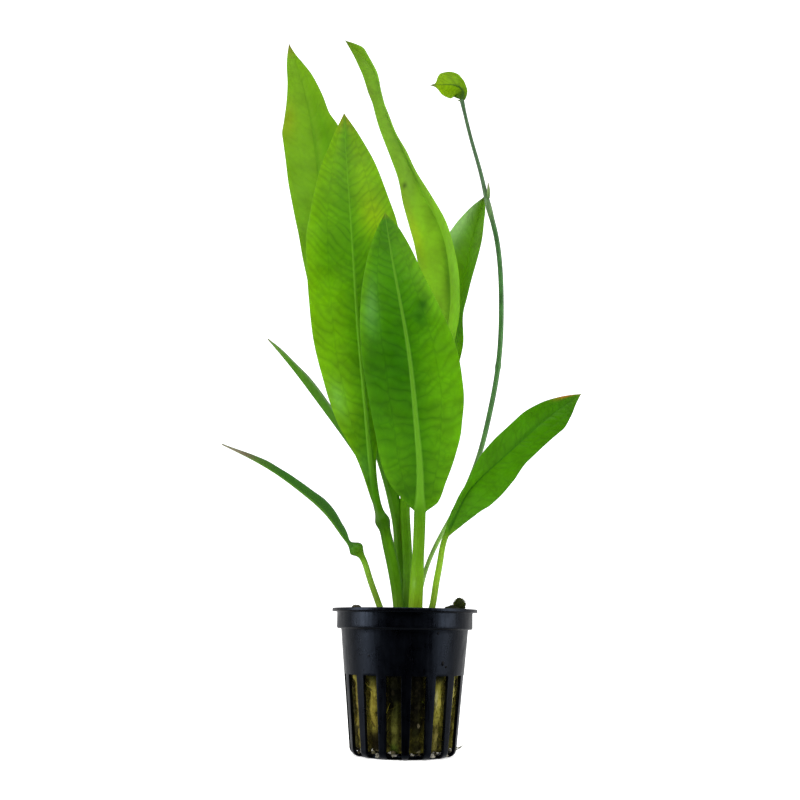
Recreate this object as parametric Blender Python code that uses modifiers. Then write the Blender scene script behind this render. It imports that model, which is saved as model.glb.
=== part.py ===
"""A potted Amazon sword plant: a rosette of eight leaves and one flower stalk in a 5 cm net pot.

Metres, +Z up. The origin is the centre of the pot's base, on the surface that the pot stands on, and
the plant faces -Y. Each leaf is one closed body, from the foot of its stalk to the tip of its blade.
"""

import math

import bmesh
import bpy
import numpy as np

# Gap between pieces that touch
GAP = 0.0003

# Net pot
POT_HEIGHT = 0.050
LIP_RADIUS = 0.0260
LIP_THICKNESS = 0.0010
BAND_RADIUS = 0.0242
BAND_HEIGHT = 0.0069
BAND_CHAMFER = 0.0003
BODY_TOP_RADIUS = 0.0226
BODY_BASE_RADIUS = 0.0186
BASE_CORNER = 0.0028
WALL = 0.0011
FLOOR = 0.0014
SLOTS = 15
SLOT_WIDTH = 0.0053
SLOT_TOP = 0.0275
SLOT_INNER_RADIUS = 0.0158
TURN_STEPS = 60
WELD = 0.00001

# Rock wool plug, with the hollow that the crown sits in. The facet gap is for two turned pieces whose
# flat facets don't line up.
WOOL_TOP = 0.0450
WOOL_STEPS = 40
FACET_GAP = 0.0001
SHOULDER_DROP = 0.0023
SHOULDER_IN = 0.0025
SHOULDER_LEAN = 0.0006
HOLLOW_TOP_RADIUS = 0.0115
HOLLOW_FLOOR_RADIUS = 0.0096
HOLLOW_FLOOR = 0.0365

# Crown that the leaf stalks grow from
CROWN_RADIUS = 0.0089
CROWN_FOOT_RADIUS = 0.0076
CROWN_ROUND = 0.0012
CROWN_STEPS = 24
CROWN_TOP = 0.0410
FOOT = CROWN_TOP + GAP

# Leaf sections: half the blade's thickness, the place between midrib and edge where a section has a
# corner, and the rib's height and half width against the stalk's radius. On the smooth face the rib
# has only a part of that height. It shrinks towards the tip as a power of what is left of the blade.
HALF_PLATE = 0.00032
LEAST_HALF_WIDTH = 0.00018
CORNER_PLACE = 0.6
RIB_SIZE = 0.7
RIB_EDGES = (0.05, 0.35)
RIB_SMOOTH_FACE = 0.35
RIB_TAPER = 0.8

# Sections along a leaf, which stand closer together towards the tip
STALK_RINGS = 9
BLADE_RINGS = 19
CROWDING = 1.15

# Colours, as seen on the plant and its pot
BLACK_PLASTIC = (0.012, 0.012, 0.016)
WOOL_BROWN = (0.13, 0.12, 0.05)
CROWN_GREEN = (0.30, 0.33, 0.12)
PALE_GREEN = (0.17, 0.37, 0.025)
MID_GREEN = (0.11, 0.31, 0.012)
DEEP_GREEN = (0.05, 0.19, 0.010)
STALK_GREEN = (0.035, 0.12, 0.022)
YOUNG_GREEN = (0.21, 0.36, 0.015)

# Each leaf:
# route   points on its midrib, from the foot of the stalk to the tip
# joins   share of the route at which the stalk becomes the blade
# stalk   stalk radii, as (share of the route, radius)
# blade   rows of (share of the blade, left half width, right half width, turn, left fold, right fold).
#         Left and right are as seen from -Y on an upright leaf. Turn is the angle in degrees by which the
#         right edge comes forward about the midrib. Fold is how far each half bends forward from flat.
# ribbed  True where the underside, which carries the raised midrib, faces forward
LEAVES = {
    "leaf_broad_left": dict(
        colour=MID_GREEN,
        ribbed=True,
        route=(
            (-0.0026, -0.0032, FOOT), (-0.0029, -0.0035, 0.0510), (-0.0040, -0.0040, 0.0630),
            (-0.0066, -0.0045, 0.0740), (-0.0084, -0.0050, 0.0820), (-0.0113, -0.0055, 0.0925),
            (-0.0144, -0.0075, 0.1135), (-0.0184, -0.0105, 0.1500), (-0.0208, -0.0105, 0.1770),
            (-0.0230, -0.0090, 0.2020), (-0.0249, -0.0060, 0.2230), (-0.0262, -0.0030, 0.2400),
        ),
        joins=0.235,
        stalk=((0, 0.0018), (0.15, 0.0018), (0.235, 0.0013)),
        blade=(
            (0, 0.0013, 0.0013, 0, -6, -6), (0.06, 0.0026, 0.0024, 0, -6, -6),
            (0.12, 0.0050, 0.0044, 0, -8, -8), (0.20, 0.0106, 0.0090, 0, -10, -10),
            (0.30, 0.0140, 0.0134, 0, -10, -10), (0.42, 0.0168, 0.0170, 0, -8, -8),
            (0.55, 0.0177, 0.0183, 0, -8, -8), (0.66, 0.0172, 0.0175, 0, -8, -8),
            (0.76, 0.0142, 0.0143, 0, -8, -8), (0.86, 0.0098, 0.0101, 0, -10, -10),
            (0.94, 0.0043, 0.0048, 0, -10, -10), (1, 0, 0, 0, -10, -10),
        ),
    ),
    "leaf_front": dict(
        colour=MID_GREEN,
        ribbed=True,
        route=(
            (0.0035, -0.0046, FOOT), (0.0037, -0.0050, 0.0510), (0.0046, -0.0070, 0.0637),
            (0.0049, -0.0100, 0.0775), (0.0050, -0.0120, 0.0880), (0.0046, -0.0145, 0.0983),
            (0.0032, -0.0175, 0.1130), (0.0009, -0.0205, 0.1340), (-0.0016, -0.0215, 0.1495),
            (-0.0062, -0.0200, 0.1740), (-0.0093, -0.0170, 0.1936),
        ),
        joins=0.28,
        stalk=((0, 0.0025), (0.08, 0.0022), (0.16, 0.0018), (0.28, 0.0017)),
        blade=(
            (0, 0.0017, 0.0017, 0, -5, -5), (0.03, 0.0055, 0.0045, 0, -8, -8),
            (0.09, 0.0110, 0.0075, 0, -10, -10), (0.17, 0.0140, 0.0122, 0, -10, -10),
            (0.25, 0.0148, 0.0158, 0, -10, -10), (0.38, 0.0163, 0.0178, 0, -8, -8),
            (0.50, 0.0170, 0.0172, 0, -8, -8), (0.62, 0.0159, 0.0140, 0, -8, -8),
            (0.74, 0.0130, 0.0106, 0, -8, -8), (0.86, 0.0083, 0.0075, 0, -10, -10),
            (0.94, 0.0040, 0.0044, 0, -10, -10), (1, 0, 0, 0, -10, -10),
        ),
    ),
    "leaf_tall_left": dict(
        colour=PALE_GREEN,
        ribbed=False,
        route=(
            (-0.0011, 0.0036, FOOT), (-0.0012, 0.0040, 0.0510), (-0.0022, 0.0056, 0.0660),
            (-0.0039, 0.0070, 0.0845), (-0.0080, 0.0080, 0.0990), (-0.0165, 0.0100, 0.1246),
            (-0.0265, 0.0120, 0.1606), (-0.0325, 0.0135, 0.1900), (-0.0360, 0.0142, 0.2140),
            (-0.0382, 0.0148, 0.2300), (-0.0430, 0.0150, 0.2550), (-0.0502, 0.0140, 0.2776),
        ),
        joins=0.30,
        stalk=((0, 0.0015), (0.2, 0.0015), (0.3, 0.0012)),
        blade=(
            (0, 0.0012, 0.0012, 0, 8, 8), (0.08, 0.0034, 0.0034, 0, 10, 10),
            (0.18, 0.0072, 0.0072, 0, 12, 12), (0.32, 0.0103, 0.0110, 0, 12, 12),
            (0.50, 0.0113, 0.0126, 0, 12, 15), (0.66, 0.0126, 0.0128, 0, 12, 18),
            (0.76, 0.0126, 0.0112, 0, 12, 20), (0.83, 0.0099, 0.0082, 0, 12, 20),
            (0.90, 0.0060, 0.0059, 0, 12, 20), (0.95, 0.0036, 0.0031, 0, 12, 20),
            (1, 0, 0, 0, 12, 20),
        ),
    ),
    "leaf_twisted": dict(
        colour=PALE_GREEN,
        ribbed=False,
        route=(
            (0.0009, -0.0003, FOOT), (0.0010, 0.0000, 0.0510), (0.0010, 0.0025, 0.0640),
            (0.0003, 0.0050, 0.0770), (0.0005, 0.0065, 0.0880), (0.0050, 0.0090, 0.1093),
            (0.0110, 0.0110, 0.1291), (0.0143, 0.0120, 0.1491), (0.0162, 0.0120, 0.1673),
            (0.0153, 0.0110, 0.1845), (0.0120, 0.0100, 0.1974), (0.0058, 0.0090, 0.2090),
            (-0.0035, 0.0080, 0.2290), (-0.0113, 0.0095, 0.2488), (-0.0166, 0.0130, 0.2677),
            (-0.0201, 0.0150, 0.2755), (-0.0274, 0.0180, 0.2830),
        ),
        joins=0.27,
        stalk=((0, 0.0017), (0.16, 0.0017), (0.27, 0.0013)),
        blade=(
            (0, 0.0013, 0.0013, 20, 0, 20), (0.08, 0.0045, 0.0045, 24, 0, 40),
            (0.18, 0.0090, 0.0090, 25, 0, 50), (0.30, 0.0122, 0.0122, 25, 0, 52),
            (0.42, 0.0128, 0.0128, 25, 0, 58), (0.50, 0.0120, 0.0115, 27, 0, 60),
            (0.57, 0.0094, 0.0094, 35, 0, 52), (0.65, 0.0072, 0.0072, 48, 0, 42),
            (0.76, 0.0070, 0.0070, 48, 0, 48), (0.86, 0.0070, 0.0070, 48, 0, 44),
            (0.92, 0.0052, 0.0052, 40, 0, 42), (0.96, 0.0032, 0.0032, 30, 0, 35),
            (1, 0, 0, 20, 0, 20),
        ),
    ),
    "leaf_back_right": dict(
        colour=MID_GREEN,
        ribbed=False,
        route=(
            (0.0024, 0.0052, FOOT), (0.0026, 0.0058, 0.0510), (0.0026, 0.0090, 0.0700),
            (0.0040, 0.0130, 0.0910), (0.0067, 0.0160, 0.1066), (0.0105, 0.0190, 0.1250),
            (0.0140, 0.0210, 0.1430), (0.0175, 0.0220, 0.1620), (0.0207, 0.0230, 0.1770),
            (0.0239, 0.0230, 0.1917), (0.0271, 0.0230, 0.2046), (0.0303, 0.0220, 0.2164),
        ),
        joins=0.38,
        stalk=((0, 0.0013), (0.25, 0.0013), (0.38, 0.0011)),
        blade=(
            (0, 0.0011, 0.0011, 15, 0, 15), (0.10, 0.0040, 0.0040, 18, 0, 25),
            (0.25, 0.0080, 0.0080, 20, 0, 32), (0.40, 0.0104, 0.0092, 20, 0, 36),
            (0.55, 0.0116, 0.0092, 20, 0, 52), (0.70, 0.0122, 0.0094, 20, 0, 47),
            (0.80, 0.0112, 0.0090, 20, 0, 42), (0.88, 0.0082, 0.0066, 20, 0, 40),
            (0.95, 0.0040, 0.0034, 20, 0, 40), (1, 0, 0, 20, 0, 40),
        ),
    ),
    "leaf_low_right": dict(
        colour=DEEP_GREEN,
        ribbed=False,
        route=(
            (0.0064, -0.0022, FOOT), (0.0097, -0.0030, 0.0510), (0.0109, -0.0040, 0.0586),
            (0.0123, -0.0050, 0.0667), (0.0138, -0.0060, 0.0745), (0.0169, -0.0070, 0.0812),
            (0.0216, -0.0090, 0.0907), (0.0287, -0.0110, 0.0985), (0.0385, -0.0130, 0.1073),
            (0.0489, -0.0140, 0.1167), (0.0618, -0.0130, 0.1270),
        ),
        joins=0.335,
        stalk=((0, 0.00105), (0.335, 0.0009)),
        blade=(
            (0, 0.0009, 0.0010, 0, 10, 5), (0.08, 0.0020, 0.0036, 0, 15, 5),
            (0.16, 0.0030, 0.0062, 0, 50, 5), (0.26, 0.0045, 0.0087, 0, 60, 5),
            (0.34, 0.0060, 0.0091, 0, 42, 5), (0.44, 0.0072, 0.0084, 0, 25, 5),
            (0.56, 0.0078, 0.0064, 0, 20, 8), (0.68, 0.0076, 0.0063, 0, 16, 8),
            (0.80, 0.0060, 0.0063, 0, 14, 8), (0.88, 0.0040, 0.0048, 0, 14, 8),
            (0.95, 0.0016, 0.0022, 0, 14, 8), (1, 0, 0, 0, 14, 8),
        ),
    ),
    "leaf_low_left": dict(
        colour=DEEP_GREEN,
        ribbed=False,
        route=(
            (-0.0058, -0.0008, FOOT), (-0.0098, -0.0010, 0.0510), (-0.0127, -0.0018, 0.0609),
            (-0.0142, -0.0022, 0.0661), (-0.0159, -0.0029, 0.0703), (-0.0188, -0.0034, 0.0722),
            (-0.0244, -0.0045, 0.0780), (-0.0289, -0.0050, 0.0843), (-0.0402, -0.0070, 0.0928),
            (-0.0521, -0.0090, 0.0994), (-0.0665, -0.0110, 0.1069),
        ),
        joins=0.39,
        stalk=((0, 0.00095), (0.3, 0.0009), (0.39, 0.0011)),
        blade=(
            (0, 0.0012, 0.0012, -90, 25, 25), (0.12, 0.0034, 0.0034, -90, 40, 40),
            (0.30, 0.0046, 0.0046, -90, 45, 45), (0.50, 0.0036, 0.0036, -90, 45, 45),
            (0.66, 0.0027, 0.0027, -90, 45, 45), (0.78, 0.0018, 0.0018, -90, 40, 40),
            (0.88, 0.0007, 0.0007, -90, 30, 30), (1, 0.0002, 0.0002, -90, 10, 10),
        ),
    ),
    "leaf_upper_left": dict(
        colour=DEEP_GREEN,
        ribbed=False,
        route=(
            (-0.0028, 0.0005, FOOT), (-0.0029, 0.0006, 0.0510), (-0.0044, 0.0008, 0.0622),
            (-0.0066, 0.0011, 0.0730), (-0.0093, 0.0015, 0.0830), (-0.0112, 0.0020, 0.0923),
            (-0.0146, 0.0030, 0.0998), (-0.0243, 0.0050, 0.1136), (-0.0347, 0.0080, 0.1278),
            (-0.0461, 0.0105, 0.1427), (-0.0542, 0.0115, 0.1520),
        ),
        joins=0.42,
        stalk=((0, 0.0010), (0.42, 0.0009)),
        blade=(
            (0, 0.0010, 0.0010, -90, 20, 20), (0.15, 0.0034, 0.0034, -90, 35, 35),
            (0.35, 0.0050, 0.0050, -90, 42, 42), (0.60, 0.0046, 0.0046, -90, 45, 45),
            (0.80, 0.0028, 0.0028, -90, 42, 42), (0.93, 0.0013, 0.0013, -90, 35, 35),
            (1, 0.0002, 0.0002, -90, 20, 20),
        ),
    ),
}

# Flower stalk: its route, as (x, y, z, radius)
STALK_ROUTE = (
    (0.0048, 0.0012, FOOT, 0.0007), (0.0049, 0.0014, 0.0510, 0.0007), (0.0064, 0.0018, 0.0609, 0.0007),
    (0.0107, 0.0026, 0.0726, 0.0007), (0.0186, 0.0040, 0.0874, 0.0008), (0.0274, 0.0060, 0.1084, 0.0009),
    (0.0307, 0.0068, 0.1216, 0.0009), (0.0332, 0.0070, 0.1340, 0.0009), (0.0350, 0.0066, 0.1480, 0.0009),
    (0.0356, 0.0055, 0.1660, 0.0009), (0.0349, 0.0040, 0.1824, 0.0009), (0.0331, 0.0025, 0.1941, 0.0009),
    (0.0306, 0.0010, 0.2041, 0.0010), (0.0276, -0.0005, 0.2175, 0.0008), (0.0242, -0.0020, 0.2292, 0.0007),
    (0.0202, -0.0035, 0.2460, 0.0006),
)
STALK_POINTS = 36

# Small round leaf on the end of the flower stalk, written as a leaf is
STALK_LEAF = dict(
    colour=YOUNG_GREEN,
    ribbed=True,
    route=(
        (0.0203, -0.0036, 0.2464), (0.0203, -0.0040, 0.2488), (0.0186, -0.0046, 0.2507),
        (0.0140, -0.0059, 0.2511), (0.0083, -0.0075, 0.2504),
    ),
    joins=0.10,
    stalk=((0, 0.0006), (0.10, 0.0006)),
    blade=(
        (0, 0.0006, 0.0006, 0, -20, -20), (0.12, 0.0020, 0.0036, 0, -25, -25),
        (0.30, 0.0042, 0.0062, 0, -25, -25), (0.50, 0.0042, 0.0066, 0, -20, -20),
        (0.70, 0.0030, 0.0056, 0, -15, -15), (0.86, 0.0012, 0.0026, 0, -10, -10),
        (0.95, 0.0004, 0.0006, 0, -10, -10), (1, 0, 0, 0, -10, -10),
    ),
)

# Bract at the stalk's node: a pointed scale that stands off the stalk
BRACT_FOOT = (0.0303, -0.0013, 0.2079)
BRACT_TIP = (0.0304, -0.0015, 0.2130)
BRACT_RADIUS = 0.0005


def spline(points, shares):
    """Natural cubic spline through the points, read at these shares (0 to 1) of its chord length.

    On each span the curve is the straight line between its ends, plus cubic terms whose second
    derivatives match those of the next span; at both ends of the route they are zero.
    """
    points = np.asarray(points, float)
    knots = np.concatenate([[0], np.cumsum(np.linalg.norm(np.diff(points, axis=0), axis=1))])
    knots /= knots[-1]
    spans = np.diff(knots)
    slopes = np.diff(points, axis=0) / spans[:, None]
    count = len(points)
    matrix = np.eye(count)
    inner = np.arange(1, count - 1)
    matrix[inner, inner - 1] = spans[:-1]
    matrix[inner, inner] = 2 * (spans[:-1] + spans[1:])
    matrix[inner, inner + 1] = spans[1:]
    right_side = np.zeros_like(points)
    right_side[1:-1] = 6 * np.diff(slopes, axis=0)
    bends = np.linalg.solve(matrix, right_side)
    span = np.clip(np.searchsorted(knots, shares, side="right") - 1, 0, count - 2)
    along = (shares - knots[span])[:, None]
    length = spans[span][:, None]
    before, after = bends[span], bends[span + 1]
    return (
        points[span]
        + along * (slopes[span] - length * (2 * before + after) / 6)
        + along**2 * before / 2
        + along**3 * (after - before) / (6 * length)
    )


def through(knots, values, shares):
    """Monotone cubic through the values: it never swings past two neighbouring values."""
    knots, values = np.asarray(knots, float), np.asarray(values, float)
    spans = np.diff(knots)
    slopes = np.diff(values) / spans
    tangents = np.zeros_like(values)
    tangents[0], tangents[-1] = slopes[0], slopes[-1]
    for i in range(1, len(values) - 1):
        if slopes[i - 1] * slopes[i] > 0:
            near, far = 2 * spans[i] + spans[i - 1], spans[i] + 2 * spans[i - 1]
            tangents[i] = (near + far) / (near / slopes[i - 1] + far / slopes[i])
    shares = np.clip(shares, knots[0], knots[-1])
    span = np.clip(np.searchsorted(knots, shares, side="right") - 1, 0, len(spans) - 1)
    u = (shares - knots[span]) / spans[span]
    return (
        (2 * u**3 - 3 * u**2 + 1) * values[span]
        + (u**3 - 2 * u**2 + u) * spans[span] * tangents[span]
        + (3 * u**2 - 2 * u**3) * values[span + 1]
        + (u**3 - u**2) * spans[span] * tangents[span + 1]
    )


def unit(vectors):
    return vectors / np.linalg.norm(vectors, axis=-1, keepdims=True)


def midrib_frame(route, shares):
    """Points on the midrib, with the directions across the leaf and out of its front face.

    The front direction is -Y with the part along the midrib taken out, and the direction across is
    the midrib's own direction times it.
    """
    step = 1e-3
    points = spline(route, shares)
    along = unit(spline(route, np.clip(shares + step, 0, 1)) - spline(route, np.clip(shares - step, 0, 1)))
    towards = np.array([0.0, -1.0, 0.0])
    front = unit(towards - (along @ towards)[:, None] * along)
    return points, np.cross(along, front), front


def leaf_rings(leaf, shares):
    """Sections of a leaf at these shares of its route, as an array of rings, points and coordinates.

    A section is a lens. It goes out along its two folded halves to the edges, with a thickness that
    falls off as a semicircle does, and a rib on the midrib. On the stalk the half width and the
    thickness are both the stalk's radius, so that the same lens is round there.
    """
    joins = leaf["joins"]
    stalk = np.array(leaf["stalk"], float)
    blade = np.array(leaf["blade"], float)
    blade_share = np.clip((shares - joins) / (1 - joins), 0, 1)
    on_stalk = shares < joins
    radius = through(stalk[:, 0], stalk[:, 1], shares)
    left, right, turn, left_fold, right_fold = (
        through(blade[:, 0], blade[:, column], blade_share) for column in range(1, 6)
    )
    left = np.maximum(np.where(on_stalk, radius, left), LEAST_HALF_WIDTH)
    right = np.maximum(np.where(on_stalk, radius, right), LEAST_HALF_WIDTH)
    rib = np.minimum(radius * (1 - blade_share) ** RIB_TAPER, np.minimum(left, right))
    plate = np.minimum(HALF_PLATE, np.minimum(left, right))
    centre, across, front = midrib_frame(leaf["route"], shares)
    turn, left_fold, right_fold = np.radians([turn, left_fold, right_fold])
    turned_across = np.cos(turn)[:, None] * across + np.sin(turn)[:, None] * front
    turned_front = np.cos(turn)[:, None] * front - np.sin(turn)[:, None] * across
    rib_edge = np.clip(RIB_SIZE * rib / np.minimum(left, right), *RIB_EDGES)
    rib_in_front = np.where(on_stalk | leaf["ribbed"], 1.0, RIB_SMOOTH_FACE)
    rib_behind = np.where(on_stalk | (not leaf["ribbed"]), 1.0, RIB_SMOOTH_FACE)
    points = []
    for side, face, place in (
        (-1, 0, 1.0), (-1, 1, CORNER_PLACE), (-1, 1, None), (1, 1, None), (1, 1, CORNER_PLACE),
        (1, 0, 1.0), (1, -1, CORNER_PLACE), (1, -1, None), (-1, -1, None), (-1, -1, CORNER_PLACE),
    ):
        width, fold = (left, left_fold) if side < 0 else (right, right_fold)
        out = rib_edge if place is None else place
        lift = plate * np.sqrt(1 - out**2)
        if place is None:
            lift = lift + RIB_SIZE * np.where(face > 0, rib_in_front, rib_behind) * rib
        else:
            lift = lift + np.where(on_stalk, (radius - plate) * np.sqrt(1 - place**2), 0)
        reach = side * out * width
        points.append(
            centre
            + (reach * np.cos(fold))[:, None] * turned_across
            + (np.abs(reach) * np.sin(fold) + face * lift)[:, None] * turned_front
        )
    return np.stack(points, axis=1)


def material(name, colour, roughness):
    finish = bpy.data.materials.new(name)
    finish.use_nodes = True
    shader = finish.node_tree.nodes["Principled BSDF"]
    shader.inputs["Base Color"].default_value = (*colour, 1)
    shader.inputs["Roughness"].default_value = roughness
    shader.inputs["Metallic"].default_value = 0
    return finish


def new_collection(name):
    collection = bpy.data.collections.new(name)
    bpy.context.scene.collection.children.link(collection)
    return collection


def add_object(name, data, collection, finish=None, smooth=None):
    """An object of this data; smooth is the angle in degrees up to which its edges are shaded smooth."""
    piece = bpy.data.objects.new(name, data)
    collection.objects.link(piece)
    if finish:
        data.materials.append(finish)
    if smooth:
        data.shade_smooth()
        data.set_sharp_from_angle(angle=math.radians(smooth))
    return piece


def turned(name, profile, steps, collection, finish):
    """A profile of (radius, height) points, turned about Z."""
    mesh = bpy.data.meshes.new(name)
    points = [(radius, 0, height) for radius, height in profile]
    mesh.from_pydata(points, [(i, i + 1) for i in range(len(points) - 1)], [])
    piece = add_object(name, mesh, collection, finish)
    screw = piece.modifiers.new("turn", "SCREW")
    screw.steps = steps
    screw.render_steps = steps
    screw.use_merge_vertices = True
    screw.merge_threshold = WELD
    screw.use_smooth_shade = True
    return piece


def arc(centre, radius, start, end, count):
    """Points on an arc in the profile's plane, from one angle in degrees to another."""
    angles = np.radians(np.linspace(start, end, count))
    return [(centre[0] + radius * math.cos(a), centre[1] + radius * math.sin(a)) for a in angles]


def body_radius(height):
    """Outer radius of the pot's tapered wall at this height."""
    share = height / (POT_HEIGHT - BAND_HEIGHT)
    return BODY_BASE_RADIUS + share * (BODY_TOP_RADIUS - BODY_BASE_RADIUS)


def build_pot(parts, cutters):
    """The net pot: a turned shell, with slots that run down the wall and round the base's corner."""
    band_foot = POT_HEIGHT - BAND_HEIGHT
    lip_edge = LIP_THICKNESS / 2
    inner_corner = BASE_CORNER - WALL
    profile = [(0, FLOOR)]
    corner_radius = body_radius(FLOOR + inner_corner) - WALL
    profile += arc((corner_radius - inner_corner, FLOOR + inner_corner), inner_corner, -90, 0, 4)
    profile += [
        (body_radius(band_foot - WALL) - WALL, band_foot - WALL),
        (BAND_RADIUS - WALL, band_foot + WALL),
        (BAND_RADIUS - WALL, POT_HEIGHT),
    ]
    profile += arc((LIP_RADIUS - lip_edge, POT_HEIGHT - lip_edge), lip_edge, 90, -90, 5)
    profile += [
        (BAND_RADIUS, POT_HEIGHT - LIP_THICKNESS),
        (BAND_RADIUS, band_foot + BAND_CHAMFER),
        (BAND_RADIUS - BAND_CHAMFER, band_foot),
        (body_radius(band_foot), band_foot),
    ]
    outer_corner = body_radius(BASE_CORNER)
    profile += arc((outer_corner - BASE_CORNER, BASE_CORNER), BASE_CORNER, 0, -90, 6)
    profile += [(0, 0)]
    pot = turned("net_pot", profile, TURN_STEPS, parts, material("black plastic", BLACK_PLASTIC, 0.32))
    slots = bmesh.new()
    depth = LIP_RADIUS - SLOT_INNER_RADIUS
    height = SLOT_TOP + 2 * WALL
    for i in range(SLOTS):
        slot = bmesh.ops.create_cube(slots, size=1)["verts"]
        bmesh.ops.scale(slots, vec=(depth, SLOT_WIDTH, height), verts=slot)
        middle = (SLOT_INNER_RADIUS + depth / 2, 0, SLOT_TOP - height / 2)
        bmesh.ops.translate(slots, vec=middle, verts=slot)
        # Half a pitch off the front, so that a rib faces -Y
        turn = math.radians(-90 + 360 / SLOTS * (i + 0.5))
        corners = [v.co for v in slot]
        for corner in corners:
            x, y = corner.x, corner.y
            corner.x = x * math.cos(turn) - y * math.sin(turn)
            corner.y = x * math.sin(turn) + y * math.cos(turn)
    mesh = bpy.data.meshes.new("slots")
    slots.to_mesh(mesh)
    slots.free()
    cutter = add_object("slots", mesh, cutters)
    cutter.hide_render = True
    cutter.display_type = "WIRE"
    cut = pot.modifiers.new("slots", "BOOLEAN")
    cut.operation = "DIFFERENCE"
    cut.solver = "EXACT"
    cut.object = cutter
    return pot


def build_wool(parts):
    """The rock wool plug: it follows the pot's inside wall, and has a hollow for the crown."""
    clear = WALL + GAP + FACET_GAP
    foot = FLOOR + GAP
    shoulder = WOOL_TOP - SHOULDER_DROP
    corner = BASE_CORNER - WALL
    profile = [(0, HOLLOW_FLOOR), (HOLLOW_FLOOR_RADIUS, HOLLOW_FLOOR), (HOLLOW_TOP_RADIUS, WOOL_TOP)]
    profile += [
        (body_radius(shoulder) - clear - SHOULDER_IN, WOOL_TOP),
        (body_radius(shoulder) - clear - SHOULDER_LEAN, shoulder),
        (body_radius(POT_HEIGHT - BAND_HEIGHT - WALL) - clear, POT_HEIGHT - BAND_HEIGHT - 2 * WALL),
        (body_radius(foot + corner) - clear, foot + corner),
        (body_radius(foot + corner) - clear - corner, foot),
        (0, foot),
    ]
    return turned("rock_wool", profile, WOOL_STEPS, parts, material("rock wool", WOOL_BROWN, 0.95))


def build_crown(parts):
    """The crown: a squat turned knob, rounded at its shoulder, on the floor of the hollow."""
    foot = HOLLOW_FLOOR + GAP
    profile = [(0, CROWN_TOP)]
    profile += arc((CROWN_RADIUS - CROWN_ROUND, CROWN_TOP - CROWN_ROUND), CROWN_ROUND, 90, 0, 4)
    profile += [(CROWN_FOOT_RADIUS, foot), (0, foot)]
    return turned("crown", profile, CROWN_STEPS, parts, material("crown", CROWN_GREEN, 0.6))


def build_leaf(name, leaf, parts, stalk_rings=STALK_RINGS, blade_rings=BLADE_RINGS):
    """A leaf: sections lofted from the foot of the stalk to the tip, closed by a cap at each end."""
    joins = leaf["joins"]
    on_stalk = np.linspace(0, joins, stalk_rings, endpoint=False)
    on_blade = joins + (1 - joins) * (1 - (1 - np.linspace(0, 1, blade_rings)) ** CROWDING)
    rings = leaf_rings(leaf, np.concatenate([on_stalk, on_blade]))
    count, size, _ = rings.shape
    index = np.arange(count * size).reshape(count, size)
    here, after = index[:-1], index[1:]
    sides = np.stack([here, np.roll(here, -1, 1), np.roll(after, -1, 1), after], axis=-1).reshape(-1, 4)
    faces = sides.tolist() + [index[0, ::-1].tolist(), index[-1].tolist()]
    mesh = bpy.data.meshes.new(name)
    mesh.from_pydata(rings.reshape(-1, 3).tolist(), [], faces)
    shape = bmesh.new()
    shape.from_mesh(mesh)
    bmesh.ops.recalc_face_normals(shape, faces=shape.faces)
    shape.to_mesh(mesh)
    shape.free()
    return add_object(name, mesh, parts, material(name.replace("_", " "), leaf["colour"], 0.35), smooth=50)


def build_flower_stalk(parts):
    """The flower stalk: a round rod along its route, thinner towards its end."""
    route = np.array(STALK_ROUTE)
    points = spline(route, np.linspace(0, 1, STALK_POINTS))
    curve = bpy.data.curves.new("flower_stalk", "CURVE")
    curve.dimensions = "3D"
    curve.bevel_depth = 1
    curve.bevel_resolution = 2
    curve.use_fill_caps = True
    rod = curve.splines.new("POLY")
    rod.points.add(STALK_POINTS - 1)
    for point, (x, y, z, radius) in zip(rod.points, points):
        point.co = (x, y, z, 1)
        point.radius = radius
    return add_object("flower_stalk", curve, parts, material("flower stalk", STALK_GREEN, 0.4))


def build_bract(parts):
    """The bract: a slim cone from its foot beside the stalk's node to its tip."""
    shape = bmesh.new()
    foot, tip = np.array(BRACT_FOOT), np.array(BRACT_TIP)
    length = float(np.linalg.norm(tip - foot))
    bmesh.ops.create_cone(
        shape, cap_ends=True, segments=10, radius1=BRACT_RADIUS, radius2=BRACT_RADIUS / 8, depth=length
    )
    mesh = bpy.data.meshes.new("stalk_bract")
    shape.to_mesh(mesh)
    shape.free()
    piece = add_object("stalk_bract", mesh, parts, material("bract", STALK_GREEN, 0.5), smooth=50)
    piece.location = (foot + tip) / 2
    lean = (tip - foot) / length
    piece.rotation_euler = (-math.asin(lean[1]), math.atan2(lean[0], lean[2]), 0)
    return piece


def main():
    for old in list(bpy.data.objects):
        bpy.data.objects.remove(old, do_unlink=True)
    parts = new_collection("potted_amazon_sword_plant")
    cutters = new_collection("cutters")
    pieces = [build_pot(parts, cutters), build_wool(parts), build_crown(parts)]
    pieces += [build_leaf(name, leaf, parts) for name, leaf in LEAVES.items()]
    pieces.append(build_flower_stalk(parts))
    pieces.append(build_leaf("stalk_leaf", STALK_LEAF, parts, stalk_rings=2, blade_rings=12))
    pieces.append(build_bract(parts))
    stand = bpy.data.objects.new("stand", None)
    parts.objects.link(stand)
    for piece in pieces:
        piece.parent = stand


main()
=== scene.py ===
# %% [markdown]
# # A potted Amazon sword plant
#
# A young sword plant stands in a black net pot. Eight leaves rise from one crown: each is a long stalk
# that runs on as the midrib of a pointed blade. A thin flower stalk arches out on the right and carries
# one small round leaf. Rock wool fills the pot and shows through its slots, with roots and moss on it.
#
# The CAD model gives every place and size. This lesson makes the surfaces that the eye reads: veins,
# quilting, the waxy skin that lets light through, the fibres of the wool, and the satin of the plastic.

import bpy
import numpy as np
from mathutils import Matrix, Vector


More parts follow.
